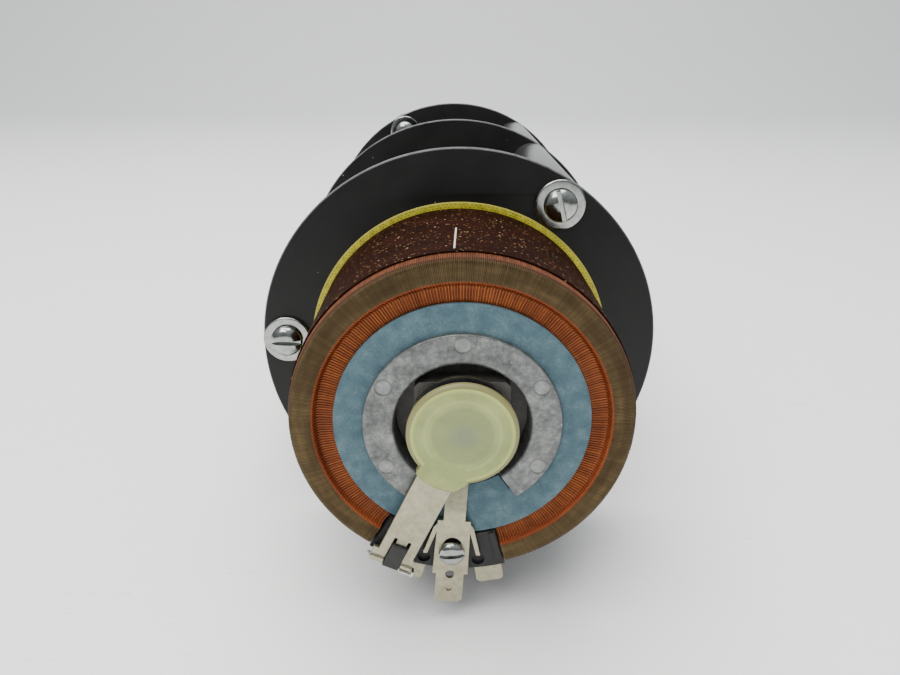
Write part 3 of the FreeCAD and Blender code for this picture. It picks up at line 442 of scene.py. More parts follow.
@dataclass(frozen=True)
class VarnishedWrap(Finish):
    """Dark maroon varnished wrap with golden flecks and a pale index thread."""

    thread_start: float = 92.75
    thread_end: float = 91.85
    thread_front: float = 5.4
    thread_rear: float = 22.5
    thread_half: float = 0.27

    def coat(self, paint: Paint) -> None:
        """Brown-red base, flecks in clumps, and a line that leans a little as it runs to the rear."""
        angle, depth, around = paint.lay()
        cloud = paint.noise(6.0, 5.0, 0.6)
        base = paint.ramp(cloud, (0.3, (0.009, 0.0024, 0.0012)), (0.7, (0.024, 0.0064, 0.0030)))
        clump = paint.noise(3.5).above(0.46, 0.12)
        fleck = paint.specks(1.0, 0.26) * paint.noise(0.7).above(0.52, 0.05) * clump
        base = paint.mix(base, (0.30, 0.17, 0.065), fleck * 0.8)
        pale = paint.specks(2.2, 0.10) * paint.noise(1.7).above(0.48, 0.05)
        base = paint.mix(base, (0.50, 0.40, 0.28), pale * 0.8)
        share = (depth - self.thread_front) / (self.thread_rear - self.thread_front)
        centre = self.thread_start + share * (self.thread_end - self.thread_start)
        line = (1 - (angle - centre).size().above(self.thread_half, 0.06)) * share.between(0.0, 1.0, 0.02)
        base = paint.mix(base, (0.72, 0.68, 0.62), line * (0.65 + paint.noise(0.5) * 0.35))
        laps = (depth * 0.42 + around * 0.05).fraction()
        paint.set(Base_Color=base, Roughness=0.60 + cloud * 0.16 + fleck * 0.15, Specular_IOR_Level=0.04,
                  Normal=paint.relief(laps * 0.3 + paint.noise(0.5, 4.0) * 0.7, 0.03, 0.6))


@dataclass(frozen=True)
class VarnishedCloth(Finish):
    """Yellow varnished glass cloth with rows of dark weave holes."""

    rows: float = 0.62
    pitch: float = 1.05
    rim: float = 38.45

    def coat(self, paint: Paint) -> None:
        """Dots in staggered rows, over an olive-yellow ground with a duller rim."""
        _, radius, along = paint.lay()
        row = radius / self.rows
        shift = row.whole() * 0.5
        u = (along / self.pitch + shift).fraction() - 0.5
        v = row.fraction() - 0.5
        cloud = paint.noise(1.6, 4.0)
        dots = 1 - u.length_with(v * 1.25).above(0.25, 0.10)
        dots = dots * paint.noise(0.9).above(0.40, 0.10)
        base = paint.ramp(cloud, (0.3, (0.36, 0.31, 0.014)), (0.7, (0.66, 0.60, 0.030)))
        base = paint.mix(base, (0.070, 0.060, 0.010), dots * 0.75)
        base = paint.mix(base, (0.42, 0.37, 0.06), radius.above(self.rim, 0.08) * 0.8)
        paint.set(Base_Color=base, Roughness=0.42 + cloud * 0.2, Normal=paint.relief(1 - dots, 0.05, 0.7))


@dataclass(frozen=True)
class Pressboard(Finish):
    """Dyed pressboard: blue-grey with paler and darker fibres."""

    fibre: float = 0.55

    def coat(self, paint: Paint) -> None:
        """Short fibre noise in two directions over a slow cloud."""
        cloud = paint.noise(3.2, 5.0, 0.62)
        across = paint.mapped((1.0, 1.0, 3.4), (0.0, 0.6, 0.0))
        along = paint.mapped((3.4, 1.0, 1.0), (0.0, -0.5, 0.0))
        first, second = (paint.noise(self.fibre * MM, 3.0, 0.65, way) * 0.5 for way in (across, along))
        fibre = first + second
        tone = paint.ramp(fibre * 0.62 + cloud * 0.38, (0.38, (0.033, 0.078, 0.102)),
                          (0.5, (0.065, 0.121, 0.147)), (0.62, (0.128, 0.200, 0.228)))
        paint.set(Base_Color=tone, Roughness=0.72 + fibre * 0.2, Normal=paint.relief(fibre, 0.03, 0.6))


@dataclass(frozen=True)
class Moulding(Finish):
    """Moulded or pressed matt material with a fine tooth and faint clouding."""

    dark: Triple
    light: Triple
    roughness: float
    tooth: float = 0.25
    relief: float = 0.012

    def coat(self, paint: Paint) -> None:
        """Cloud between two tones with pale specks of filler."""
        cloud = paint.noise(2.4, 5.0, 0.6)
        fine = paint.noise(self.tooth, 3.0)
        tone = paint.ramp(cloud * 0.5 + fine * 0.5, (0.32, self.dark), (0.68, self.light))
        filler = paint.specks(1.1, 0.06) * paint.noise(1.9).above(0.55, 0.05)
        tone = paint.mix(tone, (0.3, 0.3, 0.3), filler * 0.5)
        paint.set(Base_Color=tone, Roughness=self.roughness + (fine - 0.5) * 0.2,
                  Normal=paint.relief(fine, self.relief, 0.6))


@dataclass(frozen=True)
class MilkyNylon(Finish):
    """Milky yellow-green cap: translucent, with a painted glow at its rim and a painted shadow where the hub
    stands behind.
    """

    boss: float = 6.6
    shaft: float = 2.6
    ring: tuple[float, float] = (7.6, 8.3)
    rim: float = 10.2

    def coat(self, paint: Paint) -> None:
        """Cloudy skin; by distance from the axis the hub's painted shadow, a grey patch over the shaft, a
        pale ring and a painted glow at the rim; painted shade on the side wall.
        """
        wall, tongue, radius = paint.lay()
        cloud = paint.noise(4.5, 4.0, 0.5)
        tone = paint.ramp(cloud, (0.32, (0.27, 0.315, 0.095)), (0.68, (0.37, 0.420, 0.140)))
        tone = paint.mix(tone, (0.205, 0.25, 0.105), (1 - radius.above(self.boss, 0.5)) * 0.55)
        # A grey patch with a cloudy edge round the centre, over where the shaft stands.
        shaft_patch = 1 - (radius + (cloud - 0.5) * 3.0).above(self.shaft, 1.8)
        tone = paint.mix(tone, (0.19, 0.225, 0.17), shaft_patch * 0.5)
        ring = radius.between(*self.ring, 0.25) * (1 - tongue)
        tone = paint.mix(tone, (0.62, 0.66, 0.36), ring * 0.18)
        # Painted glow: the rim is lightened as if light came through the thin edge.
        rim = radius.above(self.rim, 0.4) * (1 - tongue)
        tone = paint.mix(tone, (0.58, 0.66, 0.16), rim * 0.5)
        # Painted shade: the side wall is darkened to tan.
        tone = paint.mix(tone, (0.20, 0.175, 0.080), wall * 0.85)
        paint.set(Base_Color=tone, Roughness=0.38 + cloud * 0.14, Coat_Weight=0.12,
                  Normal=paint.relief(paint.noise(1.4, 3.0), 0.03, 0.4), Subsurface_Weight=0.30,
                  Subsurface_Radius=(0.0012, 0.0012, 0.0006), Subsurface_Scale=1.0)


@dataclass(frozen=True)
class Tabletop(Finish):
    """Pale laminate with faint scuffs and specks."""

    tone: Triple = (0.99, 0.99, 0.99)

    def coat(self, paint: Paint) -> None:
        """Nearly white ground with soft clouds, a few thin scratches and dark grains."""
        cloud = paint.noise(160.0, 4.0)
        lines = paint.noise(26.0 * MM, 2.0, 0.5, paint.mapped((1.0, 14.0, 1.0), (0.0, 0.0, 0.5)))
        scratch = lines.between(0.685, 0.70, 0.006) * paint.noise(70.0).above(0.52, 0.08)
        grains = paint.specks(26.0, 0.022) * paint.noise(40.0).above(0.55, 0.05)
        light = tuple(min(1.0, part * 1.05) for part in self.tone)
        tone = paint.mix(self.tone, light, cloud)
        tone = paint.mix(tone, (0.48, 0.49, 0.50), scratch * 0.4 + grains * 0.6)
        paint.set(Base_Color=tone, Roughness=0.42 + cloud * 0.12)


AXIAL = (1.0, 30.0, 1.0)
# Metals: dark tone, light tone, roughness, size of the mottling, of the grain, depth of relief, stretch.
# Mouldings: dark tone, light tone, roughness, size of the tooth, depth of relief.
FINISHES: dict[Slot, Finish] = {
    Slot.ENAMEL: SatinEnamel(),
    Slot.ZINC: Metal((0.21, 0.22, 0.205), (0.44, 0.455, 0.43), 0.16, 1.8, 0.12, 0.004),
    Slot.CASTING: DieCast(),
    Slot.SPACER: Metal((0.21, 0.21, 0.21), (0.32, 0.32, 0.32), 0.30, 7.0, 0.5, 0.006, AXIAL),
    Slot.WIRE: Winding(),
    Slot.CORE: Metal((0.16, 0.16, 0.17), (0.32, 0.32, 0.33), 0.45, 4.0, 0.3, 0.01),
    Slot.WRAP: VarnishedWrap(),
    Slot.CLOTH: VarnishedCloth(),
    Slot.PRESSBOARD: Pressboard(),
    Slot.PHENOLIC: Moulding((0.003, 0.003, 0.003), (0.009, 0.009, 0.0088), 0.62),
    Slot.GREY_PHENOLIC: Moulding((0.055, 0.051, 0.045), (0.115, 0.108, 0.095), 0.5),
    Slot.TIN: RolledTin((0.28, 0.258, 0.172), (0.46, 0.43, 0.31), 0.33, 1.5, 0.2, 0.006, metallic=0.85),
    Slot.STEEL: Metal((0.36, 0.36, 0.37), (0.58, 0.58, 0.59), 0.28, 6.0, 0.4, 0.004, AXIAL),
    Slot.BLACK_OXIDE: Metal((0.018, 0.018, 0.02), (0.05, 0.05, 0.055), 0.38, 3.0, metallic=0.7),
    Slot.SPRING: Metal((0.50, 0.50, 0.48), (0.72, 0.72, 0.69), 0.22, 2.0),
    Slot.BRONZE: Metal((0.26, 0.165, 0.08), (0.46, 0.31, 0.16), 0.5, 1.0, 0.2, 0.012),
    Slot.CARBON: Moulding((0.009, 0.009, 0.0084), (0.026, 0.025, 0.0235), 0.62, 0.18, 0.02),
    Slot.NYLON: MilkyNylon(),
}


class Palette:
    """Every finish made once, and handed out by slot."""

    def __init__(self) -> None:
        """Start with no material made."""
        self._made: dict[Slot, bpy.types.Material] = {}

    def material(self, slot: Slot) -> bpy.types.Material:
        """The material of a slot, built the first time it is asked for."""
        if slot not in self._made:
            paint = Paint(slot.value)
            FINISHES[slot].coat(paint)
            self._made[slot] = paint.material
        return self._made[slot]


PALETTE = Palette()


# --------------------------------------------------------------------------------------------- geometry
def polar(radius: Array, angle: Array, depth: Array) -> Array:
    """Points about the shaft, angle in degrees: x = radius cos angle, y = depth, z = radius sin angle."""
    radius, turn, depth = np.broadcast_arrays(radius, np.radians(angle), depth)
    return np.stack([radius * np.cos(turn), depth, radius * np.sin(turn)], axis=-1)


def rounded(corners: list[tuple[float, float]], cut: float | list[float], steps: int = 4,
            closed: bool = True) -> Array:
    """Outline with its corners rounded by parabolas.

    At each corner P the curve leaves the side before it at A and joins the side after it at C, both at the
    cut's distance from P, along (1-t)^2 A + 2t(1-t) P + t^2 C.

    Args:
        corners: the outline's corners in order.
        cut: distance of the curve's ends from each corner.
        steps: points on each corner's curve, less one.
        closed: whether the last corner joins the first; if not, both end corners stay sharp.
    """
    middle = np.asarray(corners, float)
    before, after = np.roll(middle, 1, axis=0), np.roll(middle, -1, axis=0)
    cut = np.broadcast_to(np.asarray(cut, float), (len(middle),)).copy()
    if not closed:
        cut[[0, -1]] = 0.0
    back, ahead = before - middle, after - middle
    back_length = np.linalg.norm(back, axis=1, keepdims=True)
    ahead_length = np.linalg.norm(ahead, axis=1, keepdims=True)
    reach = np.minimum(cut[:, None], 0.499 * np.minimum(back_length, ahead_length))
    start = middle + back / back_length * reach
    end = middle + ahead / ahead_length * reach
    t = np.linspace(0, 1, steps + 1)[None, :, None]
    curve = (1 - t) ** 2 * start[:, None] + 2 * t * (1 - t) * middle[:, None] + t ** 2 * end[:, None]
    points = curve.reshape(-1, 2)
    keep = np.linalg.norm(points - np.roll(points, 1, axis=0), axis=1) > 1e-6
    keep[0] = True
    return points[keep]


def circle(radius: float, centre: tuple[float, float] = (0.0, 0.0), points: int = 96) -> Array:
    """Points on a circle: centre + radius (cos a, sin a)."""
    turn = np.linspace(0, 2 * np.pi, points, endpoint=False)
    return np.stack([centre[0] + radius * np.cos(turn), centre[1] + radius * np.sin(turn)], axis=1)


def inset(loop: Array, distance: float) -> Array:
    """Move a closed loop to the left of its own direction, by the mitre of its sides' normals."""
    ahead = np.roll(loop, -1, axis=0) - loop
    ahead /= np.linalg.norm(ahead, axis=1, keepdims=True)
    left = np.stack([-ahead[:, 1], ahead[:, 0]], axis=1)
    before = np.roll(left, 1, axis=0)
    mitre = (left + before) / np.maximum(0.3, 1 + (left * before).sum(axis=1, keepdims=True))
    return loop + mitre * distance


@dataclass(frozen=True)
class Spot:
    """A place in the stack: off the shaft's axis by a reach at an angle, at a Y, spun about its own axis."""

    depth: float
    angle: float = 0.0
    reach: float = 0.0
    spin: float = 0.0

    def put(self, points: Array) -> Array:
        """Carry local points there: x and z turn by the spin, then all shift."""
        turn, aim = math.radians(self.spin), math.radians(self.angle)
        x, y, z = points[..., 0], points[..., 1], points[..., 2]
        return np.stack([x * math.cos(turn) - z * math.sin(turn) + self.reach * math.cos(aim),
                         y + self.depth,
                         x * math.sin(turn) + z * math.cos(turn) + self.reach * math.sin(aim)], axis=-1)


class Shell:
    """Closed surfaces gathered into one piece's mesh."""

    def __init__(self) -> None:
        """Start empty."""
        self._points: list[Array] = []
        self._lay: list[Array] = []
        self._faces: list[list[int]] = []
        self._count = 0

    def _add(self, points: Array, faces: list[list[int]], lay: Array | None) -> None:
        """Store points and faces that are numbered from 0."""
        base = self._count
        self._points.append(points)
        self._lay.append(np.zeros_like(points) if lay is None else lay.reshape(-1, 3))
        self._faces += [[base + corner for corner in face] for face in faces] if base else faces
        self._count += len(points)

    def grid(self, points: Array, ring: bool = False, turn: bool = False, lids: bool = False,
             lay: Array | None = None) -> "Shell":
        """Quads between neighbouring rows and columns of a grid.

        Args:
            points: rows by columns by 3.
            ring: the last row joins the first.
            turn: the last column joins the first.
            lids: close the first and last column with flat faces.
            lay: numbers for the "lay" attribute, of the same shape.
        """
        rows, columns = points.shape[:2]
        index = np.arange(rows * columns).reshape(rows, columns)
        looped = np.vstack([index, index[:1]]) if ring else index
        looped = np.hstack([looped, looped[:, :1]]) if turn else looped
        quads = np.stack([looped[:-1, :-1], looped[1:, :-1], looped[1:, 1:], looped[:-1, 1:]], axis=-1)
        faces = quads.reshape(-1, 4).tolist()
        if lids:
            faces += [index[:, 0].tolist(), index[::-1, -1].tolist()]
        self._add(points.reshape(-1, 3), faces, lay)
        return self

    def revolve(self, profile: Array, spot: Spot, columns: int = 96, start: float = 0.0,
                sweep: float = 360.0, closed: bool = True) -> "Shell":
        """Turn a profile of radius and depth about a spot's own axis.

        Args:
            profile: points of (radius, depth).
            spot: where the axis is.
            columns: steps round.
            start: angle of the first step.
            sweep: angle covered; under 360 the ends get lids.
            closed: the profile's last point joins its first; if not, both are on the axis.
        """
        whole = abs(sweep) >= 360
        angle = np.linspace(start, start + sweep, columns, endpoint=not whole)
        points = polar(profile[:, 0][:, None], angle[None, :], profile[:, 1][:, None])
        return self.grid(spot.put(points), ring=closed, turn=whole, lids=not whole)

    def stamped(self, outline: Array, holes: list[Array], low: float, high: float, edge: float,
                spot: Spot) -> "Shell":
        """Flat stamping with rounded edges: rings of the outline and its holes, inset near both faces.

        Args:
            outline: outer loop, anticlockwise, in the plane of (x, z).
            holes: inner loops, anticlockwise.
            low: depth of the front face.
            high: depth of the rear face.
            edge: rounding of the edges.
            spot: where the stamping goes.
        """
        bend = np.array([0.0, 0.12, 0.5, 1.0]) * edge
        draw = np.array([1.0, 0.5, 0.12, 0.0]) * edge
        depth = np.concatenate([low + bend, (high - bend)[::-1]])
        draw = np.concatenate([draw, draw[::-1]])
        loops = [outline] + [hole[::-1] for hole in holes]
        for loop in loops:
            rings = np.stack([inset(loop, step) for step in draw])
            level = np.broadcast_to(depth[:, None], rings.shape[:2])
            self.grid(spot.put(np.stack([rings[..., 0], level, rings[..., 1]], axis=-1)), turn=True)
        faces = [inset(loop, edge) for loop in loops]
        triangles = tessellate_polygon([[Vector((x, z, 0.0)) for x, z in face] for face in faces])
        flat = np.concatenate(faces)
        for level in (low, high):
            points = np.stack([flat[:, 0], np.full(len(flat), level), flat[:, 1]], axis=1)
            self._add(spot.put(points), [list(face) for face in triangles], None)
        return self

    def build(self, name: str, body: str, slot: Slot, stands_for: tuple[str, ...],
              crease: float = CREASE) -> bpy.types.Object:
        """Write the mesh and finish the piece, as finish_piece says."""
        mesh = bpy.data.meshes.new(name)
        mesh.from_pydata(np.concatenate(self._points) * MM, [], self._faces)
        corners = np.empty(len(mesh.loops), np.int32)
        mesh.loops.foreach_get("vertex_index", corners)
        lay = mesh.attributes.new("lay", "FLOAT_VECTOR", "CORNER")
        lay.data.foreach_set("vector", np.concatenate(self._lay)[corners].astype(np.float32).ravel())
        work = bmesh.new()
        work.from_mesh(mesh)
        bmesh.ops.remove_doubles(work, verts=work.verts, dist=2e-7)
        bmesh.ops.recalc_face_normals(work, faces=work.faces)
        work.to_mesh(mesh)
        work.free()
        return finish_piece(mesh, name, body, slot, stands_for, crease)


def add_object(name: str, data: bpy.types.ID) -> bpy.types.Object:
    """Put an object with this data into the scene."""
    made = bpy.data.objects.new(name, data)
    bpy.context.scene.collection.objects.link(made)
    return made


def smooth_object(name: str, mesh: bpy.types.Mesh, material: bpy.types.Material) -> bpy.types.Object:
    """Put a mesh into the scene, shaded smooth, in one material."""
    mesh.polygons.foreach_set("use_smooth", np.ones(len(mesh.polygons), bool))
    mesh.materials.append(material)
    return add_object(name, mesh)


def finish_piece(mesh: bpy.types.Mesh, name: str, body: str, slot: Slot, stands_for: tuple[str, ...],
                 crease: float) -> bpy.types.Object:
    """Shade a mesh, give it its material and put it on its body.

    Args:
        mesh: the finished mesh.
        name: the piece's name.
        body: the body it rides on.
        slot: its finish.
        stands_for: CAD nodes it replaces.
        crease: angle past which an edge stays sharp, in degrees.
    """
    mesh.materials.clear()
    piece = smooth_object(name, mesh, PALETTE.material(slot))
    mesh.set_sharp_from_angle(angle=math.radians(crease))
    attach(piece, body)
    if stands_for:
        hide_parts(*stands_for)
    log.info("%s: %d faces on %s", name, len(mesh.polygons), body)
    return piece


def eased_copy(node: str, body: str, slot: Slot, edge: float, steps: int = 2) -> bpy.types.Object:
    """Copy a CAD node, merge its triangles and ease its sharp edges.

    Args:
        node: the CAD node, which the copy replaces.
        body: the body it rides on.
        slot: its finish.
        edge: width of the eased edges in millimetres.
        steps: faces across an eased edge.
    """
    mesh = frame["nodes"][node].data.copy()
    work = bmesh.new()
    work.from_mesh(mesh)
    bmesh.ops.remove_doubles(work, verts=work.verts, dist=1e-6)
    bmesh.ops.dissolve_limit(work, angle_limit=math.radians(0.6), verts=work.verts, edges=work.edges)
    work.to_mesh(mesh)
    work.free()
    piece = finish_piece(mesh, node + "_made", body, slot, (node,), CREASE)
    ease = piece.modifiers.new("eased_edges", "BEVEL")
    ease.width = edge * MM
    ease.segments = steps
    ease.limit_method = "ANGLE"
    ease.angle_limit = math.radians(40)
    ease.harden_normals = True
    return piece


# --------------------------------------------------------------------------------------- the gangs' parts
@dataclass(frozen=True)
class Gang:
    """One gang's name and the Y of its brush plane, read from its base plate."""

    name: str

    @property
    def plate(self) -> float:
        """Y of the base plate's front face."""
        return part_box("base_plate_" + self.name)[0].y / MM

    @property
    def plane(self) -> float:
        """Y of the brush plane."""
        return self.plate - COIL_DEPTH

    def node(self, part: str) -> str:
        """Name of this gang's node of a part."""
        return "%s_%s" % (part, self.name)

    def spot(self, angle: float = 0.0, depth: float = 0.0) -> Spot:
        """The gang's own frame, turned to an angle."""
        return Spot(self.plane + depth, spin=angle)

    def make(self, shell: Shell, name: str, body: str, slot: Slot, part: str, crease: float = CREASE) -> None:
        """Build a shell as this gang's piece, in place of this gang's node of a part."""
        shell.build(self.node(name), body, slot, (self.node(part),), crease)


@dataclass
class BasePlate:
    """Round black plate with its screw holes."""

    gang: Gang
    radius: float = 51.6
    edge: float = 0.3
    bore: float = 8.0
    screw_hole: float = 2.25
    casting_hole: float = 1.75

    def build(self) -> None:
        """Stamp the disc with all its holes."""
        angles = SPACER_ANGLES + (POST_ANGLES if self.gang.name == GANGS[-1] else ())
        holes = [circle(self.bore)]
        holes += [self._hole(SCREW_CIRCLE, angle, self.screw_hole) for angle in angles]
        holes += [self._hole(CASTING_CIRCLE, angle, self.casting_hole) for angle in CASTING_ANGLES]
        shell = Shell().stamped(circle(self.radius, points=288), holes, 0.0, PLATE_THICK, self.edge,
                                self.gang.spot(depth=COIL_DEPTH))
        self.gang.make(shell, "plate", "frame", Slot.ENAMEL, "base_plate")

    @staticmethod
    def _hole(reach: float, angle: float, radius: float) -> Array:
        """A round hole off the axis."""
        turn = math.radians(angle)
        return circle(radius, (reach * math.cos(turn), reach * math.sin(turn)), 32)


@dataclass
class Coil:
    """Single-layer toroidal winding whose turns are drawn one by one on its open faces."""

    gang: Gang
    start: float = 235.0
    sweep: float = 309.0
    pairs: int = 271
    wire: float = 0.18
    sink: float = 0.15
    wear: float = 0.045
    wander: float = 0.055
    lift: float = 0.016
    inner_limit: float = 30.6
    outer_limit: float = 32.2
    track: float = 31.6

    def _section(self) -> Array:
        """Where a turn runs: under the disc, over the ledge and the track, round the rim and back inside."""
        return np.array([
            (26.2, 2.9), (26.2, 1.55), (27.4, 1.45), (28.6, 1.45), (29.8, 1.45), (30.5, 1.42), (30.85, 1.2),
            (31.1, 0.85), (31.3, 0.42), (31.5, 0.14), (31.8, 0.03), (32.6, 0.0), (34.0, 0.0), (35.4, 0.0),
            (35.9, 0.07), (36.3, 0.27), (36.58, 0.58), (36.74, 1.0), (36.8, 1.5), (36.8, 2.4), (36.8, 3.3),
            (36.8, 4.4), (36.2, 4.6), (31.0, 3.6)])

    def _turns(self) -> tuple[Array, Array]:
        """Points of the wound surface and their "lay" numbers.

        Each pair of turns has a raised and a lower one.  Across a turn the surface falls from its crest as
        wire * (1 - sqrt(1 - (2t-1)^2)); a lower turn also sinks where the turns are crowded.  The numbers
        are turn count, radius and depth.
        """
        path = self._section()
        ahead = np.roll(path, -1, axis=0) - np.roll(path, 1, axis=0)
        ahead /= np.linalg.norm(ahead, axis=1, keepdims=True)
        inward = np.stack([-ahead[:, 1], ahead[:, 0]], axis=1)
        inward[(path[:, 1] > 2.6) & (path[:, 0] < 36.0)] = 0.0
        across = np.array([0.0, 0.10, 0.30, 0.50, 0.70, 0.90])
        crowd = np.clip((self.outer_limit - path[:, 0]) / (self.outer_limit - self.inner_limit), 0, 1)
        crowd = crowd * crowd * (3 - 2 * crowd)
        fall = self.wire * (1 - np.sqrt(np.clip(1 - (2 * across - 1) ** 2, 0, 1))) * 0.85
        share = 0.5 + 0.13 * crowd
        random = np.random.default_rng(7)
        wander = random.normal(0, self.wander, (self.pairs, 2))
        lift = np.abs(random.normal(0, self.lift, (self.pairs, 2)))
        pair = np.arange(self.pairs)[None, :, None, None]
        upper = share[:, None, None, None]
        second = np.array([0.0, 1.0])[None, None, :, None]
        local = across[None, None, None, :]
        spread = np.where(second == 0, local * upper, upper + local * (1 - upper))
        jitter = wander[None, :, :, None] * np.sin(np.pi * local) * (0.35 + crowd[:, None, None, None])
        place = pair + spread + jitter * 0.5
        bare = np.clip((path[:, 0] - self.track) / 0.5, 0, 1) * (path[:, 1] < 0.2)
        drop = fall[None, None, None, :] - self.wear * bare[:, None, None, None]
        drop = np.maximum(drop, 0.0) + lift[None, :, :, None] * (1 - bare[:, None, None, None])
        drop = drop + second * self.sink * crowd[:, None, None, None]
        count = np.broadcast_to(pair * 2 + second + local, drop.shape).reshape(len(path), -1)
        place, drop = place.reshape(len(path), -1), drop.reshape(len(path), -1)
        radius = path[:, 0][:, None] + inward[:, 0][:, None] * drop
        depth = path[:, 1][:, None] + inward[:, 1][:, None] * drop
        angle = self.start - self.sweep * place / self.pairs
        points = polar(radius, angle, depth)
        lay = np.stack([count, np.broadcast_to(path[:, :1], count.shape),
                        np.broadcast_to(path[:, 1:], count.shape)], axis=-1)
        return points, lay

    def build(self) -> None:
        """Wound face and rim, and the plain body behind them."""
        points, lay = self._turns()
        spot = self.gang.spot()
        shell = Shell().grid(spot.put(points), ring=True, lids=True, lay=lay)
        body = rounded([(19.4, 1.5), (26.3, 1.56), (26.6, 3.0), (36.1, 4.7), (36.7, 4.9), (36.7, COIL_REAR),
                        (19.4, COIL_REAR)], [1.0, 0.1, 0.3, 0.2, 0.2, 1.0, 1.0])
        shell.revolve(body, spot, 220, self.start, -self.sweep)
        self.gang.make(shell, "coil", "frame", Slot.WIRE, "winding", 60.0)


@dataclass
class Wraps:
    """Outer sleeve, gasket and insulating disc of one coil."""

    gang: Gang
    sleeve_radius: float = 37.2
    sleeve_thick: float = 0.35
    sleeve_front: float = 3.6
    gasket_radius: float = 38.7
    gasket_seat: float = 37.4
    gasket_bore: float = 19.6
    disc_radius: float = 27.3
    disc_bore: float = 18.9
    disc_front: float = 0.6
    disc_thick: float = 0.8
    fill_bore: float = 14.6
    fill_span: tuple[float, float] = (237.0, 303.0)

    def _ring(self, profile: Array, second: int) -> Shell:
        """Revolve a profile; its "lay" is angle, radius (second 0) or depth (second 1), and arc."""
        angle = np.linspace(-90, 270, 289)
        radius, depth = profile[:, 0][:, None], profile[:, 1][:, None]
        points = polar(radius, angle[None, :], depth)
        arc = np.radians(angle)[None, :] * float(profile[:, 0].max())
        numbers = angle[None, :], (radius, depth)[second], arc + radius * 0
        lay = np.stack(np.broadcast_arrays(*numbers), axis=-1)
        return Shell().grid(self.gang.spot().put(points), ring=True, lay=lay)

    def build(self) -> None:
        """Make the three rings."""
        outer, inner = self.sleeve_radius, self.sleeve_radius - self.sleeve_thick
        front, rear = self.sleeve_front, COIL_REAR
        along = [(outer, front + (rear - front) * k / 12) for k in range(1, 12)]
        sleeve = rounded([(inner, front), (outer, front)] + along + [(outer, rear), (inner, rear)], 0.12, 3)
        self.gang.make(self._ring(sleeve, 1), "sleeve", "frame", Slot.WRAP, "outer_sleeve")
        radius, bore = self.gasket_radius, self.gasket_bore
        gasket = rounded([(bore, rear), (self.gasket_seat, rear), (radius, rear), (radius, COIL_DEPTH),
                          (bore, COIL_DEPTH)], [0.1, 0.1, 0.25, 0.25, 0.1], 3)
        self.gang.make(self._ring(gasket, 0), "cloth_ring", "frame", Slot.CLOTH, "gasket")
        first, last = self.fill_span
        fill = self._arc(self.fill_bore, np.radians(np.linspace(first, last, 48)))
        bore = self._arc(self.disc_bore, np.radians(np.linspace(last, first + 360, 180)))
        disc = Shell().stamped(circle(self.disc_radius, points=220), [np.concatenate([fill, bore])],
                               self.disc_front, self.disc_front + self.disc_thick, 0.1, self.gang.spot())
        self.gang.make(disc, "blue_disc", "frame", Slot.PRESSBOARD, "insulating_disc")

    @staticmethod
    def _arc(radius: float, turn: Array) -> Array:
        """Points on an arc about the axis: radius (cos a, sin a)."""
        return radius * np.stack([np.cos(turn), np.sin(turn)], axis=1)


@dataclass
class Casting:
    """Die-cast tube with its open flange and ejector marks."""

    gang: Gang
    tube_inner: float = 14.4
    tube_outer: float = 18.6
    flange: float = 21.05
    neck: float = 18.4
    face: float = -0.5
    back: float = 0.55
    bush_seat: tuple[float, float] = (5.5, 37.3)
    start: float = 235.0
    sweep: float = 290.0
    mark_circle: float = 18.8
    mark_radius: float = 1.7
    mark_depth: float = 0.12
    marks: tuple[float, ...] = (330.0, 30.0, 90.0, 150.0, 210.0)

    def _flange(self) -> tuple[Array, Array]:
        """Flange surface: a rounded profile swept along its arc, grooved round each ejector mark.

        Returns:
            The grid's points, and for each its share of a groove and of a mark's well.
        """
        inner, outer, neck, back = self.tube_inner, self.flange, self.neck, self.back
        edge = rounded([(inner, 1.55), (inner, self.face), (outer, self.face), (outer, back), (neck, back),
                        (neck, 1.55)], [0.1, 0.9, 0.4, 0.1, 0.05, 0.05], 5)
        across = np.linspace(inner + 0.95, outer - 0.45, 48)
        low = edge[(edge[:, 0] < inner + 0.95) & (edge[:, 1] < 1.4)]
        high = edge[(edge[:, 0] > outer - 0.45) & (edge[:, 1] < 0.54)]
        flat = np.stack([across, np.full(len(across), self.face)], axis=1)
        under = [(outer - 0.1, back), (neck, back), (neck, 1.52), (inner, 1.52)]
        profile = np.concatenate([low, flat, high, under])
        turn = np.linspace(self.start, self.start - self.sweep, 720)
        radius, depth = profile[:, 0][:, None], np.repeat(profile[:, 1][:, None], len(turn), axis=1)
        face = np.abs(depth - self.face) < 0.01
        groove, well = np.zeros_like(depth), np.zeros_like(depth)
        for mark in self.marks:
            swing = np.radians(turn[None, :] - mark)
            gap = np.sqrt(np.maximum(radius ** 2 + self.mark_circle ** 2
                                     - 2 * radius * self.mark_circle * np.cos(swing), 0))
            groove += face * np.exp(-((gap - self.mark_radius) / 0.17) ** 2)
            well += face / (1 + np.exp(np.clip((gap - self.mark_radius) / 0.07, -40, 40)))
        depth = depth + 0.03 * well + self.mark_depth * groove
        return polar(radius, turn[None, :], depth), np.stack([groove, well, groove * 0], axis=-1)

    def build(self) -> None:
        """Flange, tube and rear web with the bush's seat."""
        spot = self.gang.spot()
        inner, outer = self.tube_inner, self.tube_outer
        bore, seat = self.bush_seat
        tube = rounded([(inner, 1.5), (outer, 1.5), (outer, COIL_DEPTH), (bore, COIL_DEPTH), (bore, seat),
                        (inner, seat)], 0.15, 2)
        flange, lay = self._flange()
        shell = Shell().grid(spot.put(flange), ring=True, lids=True, lay=lay).revolve(tube, spot, 128)
        self.gang.make(shell, "casting", "frame", Slot.CASTING, "hub_casting")


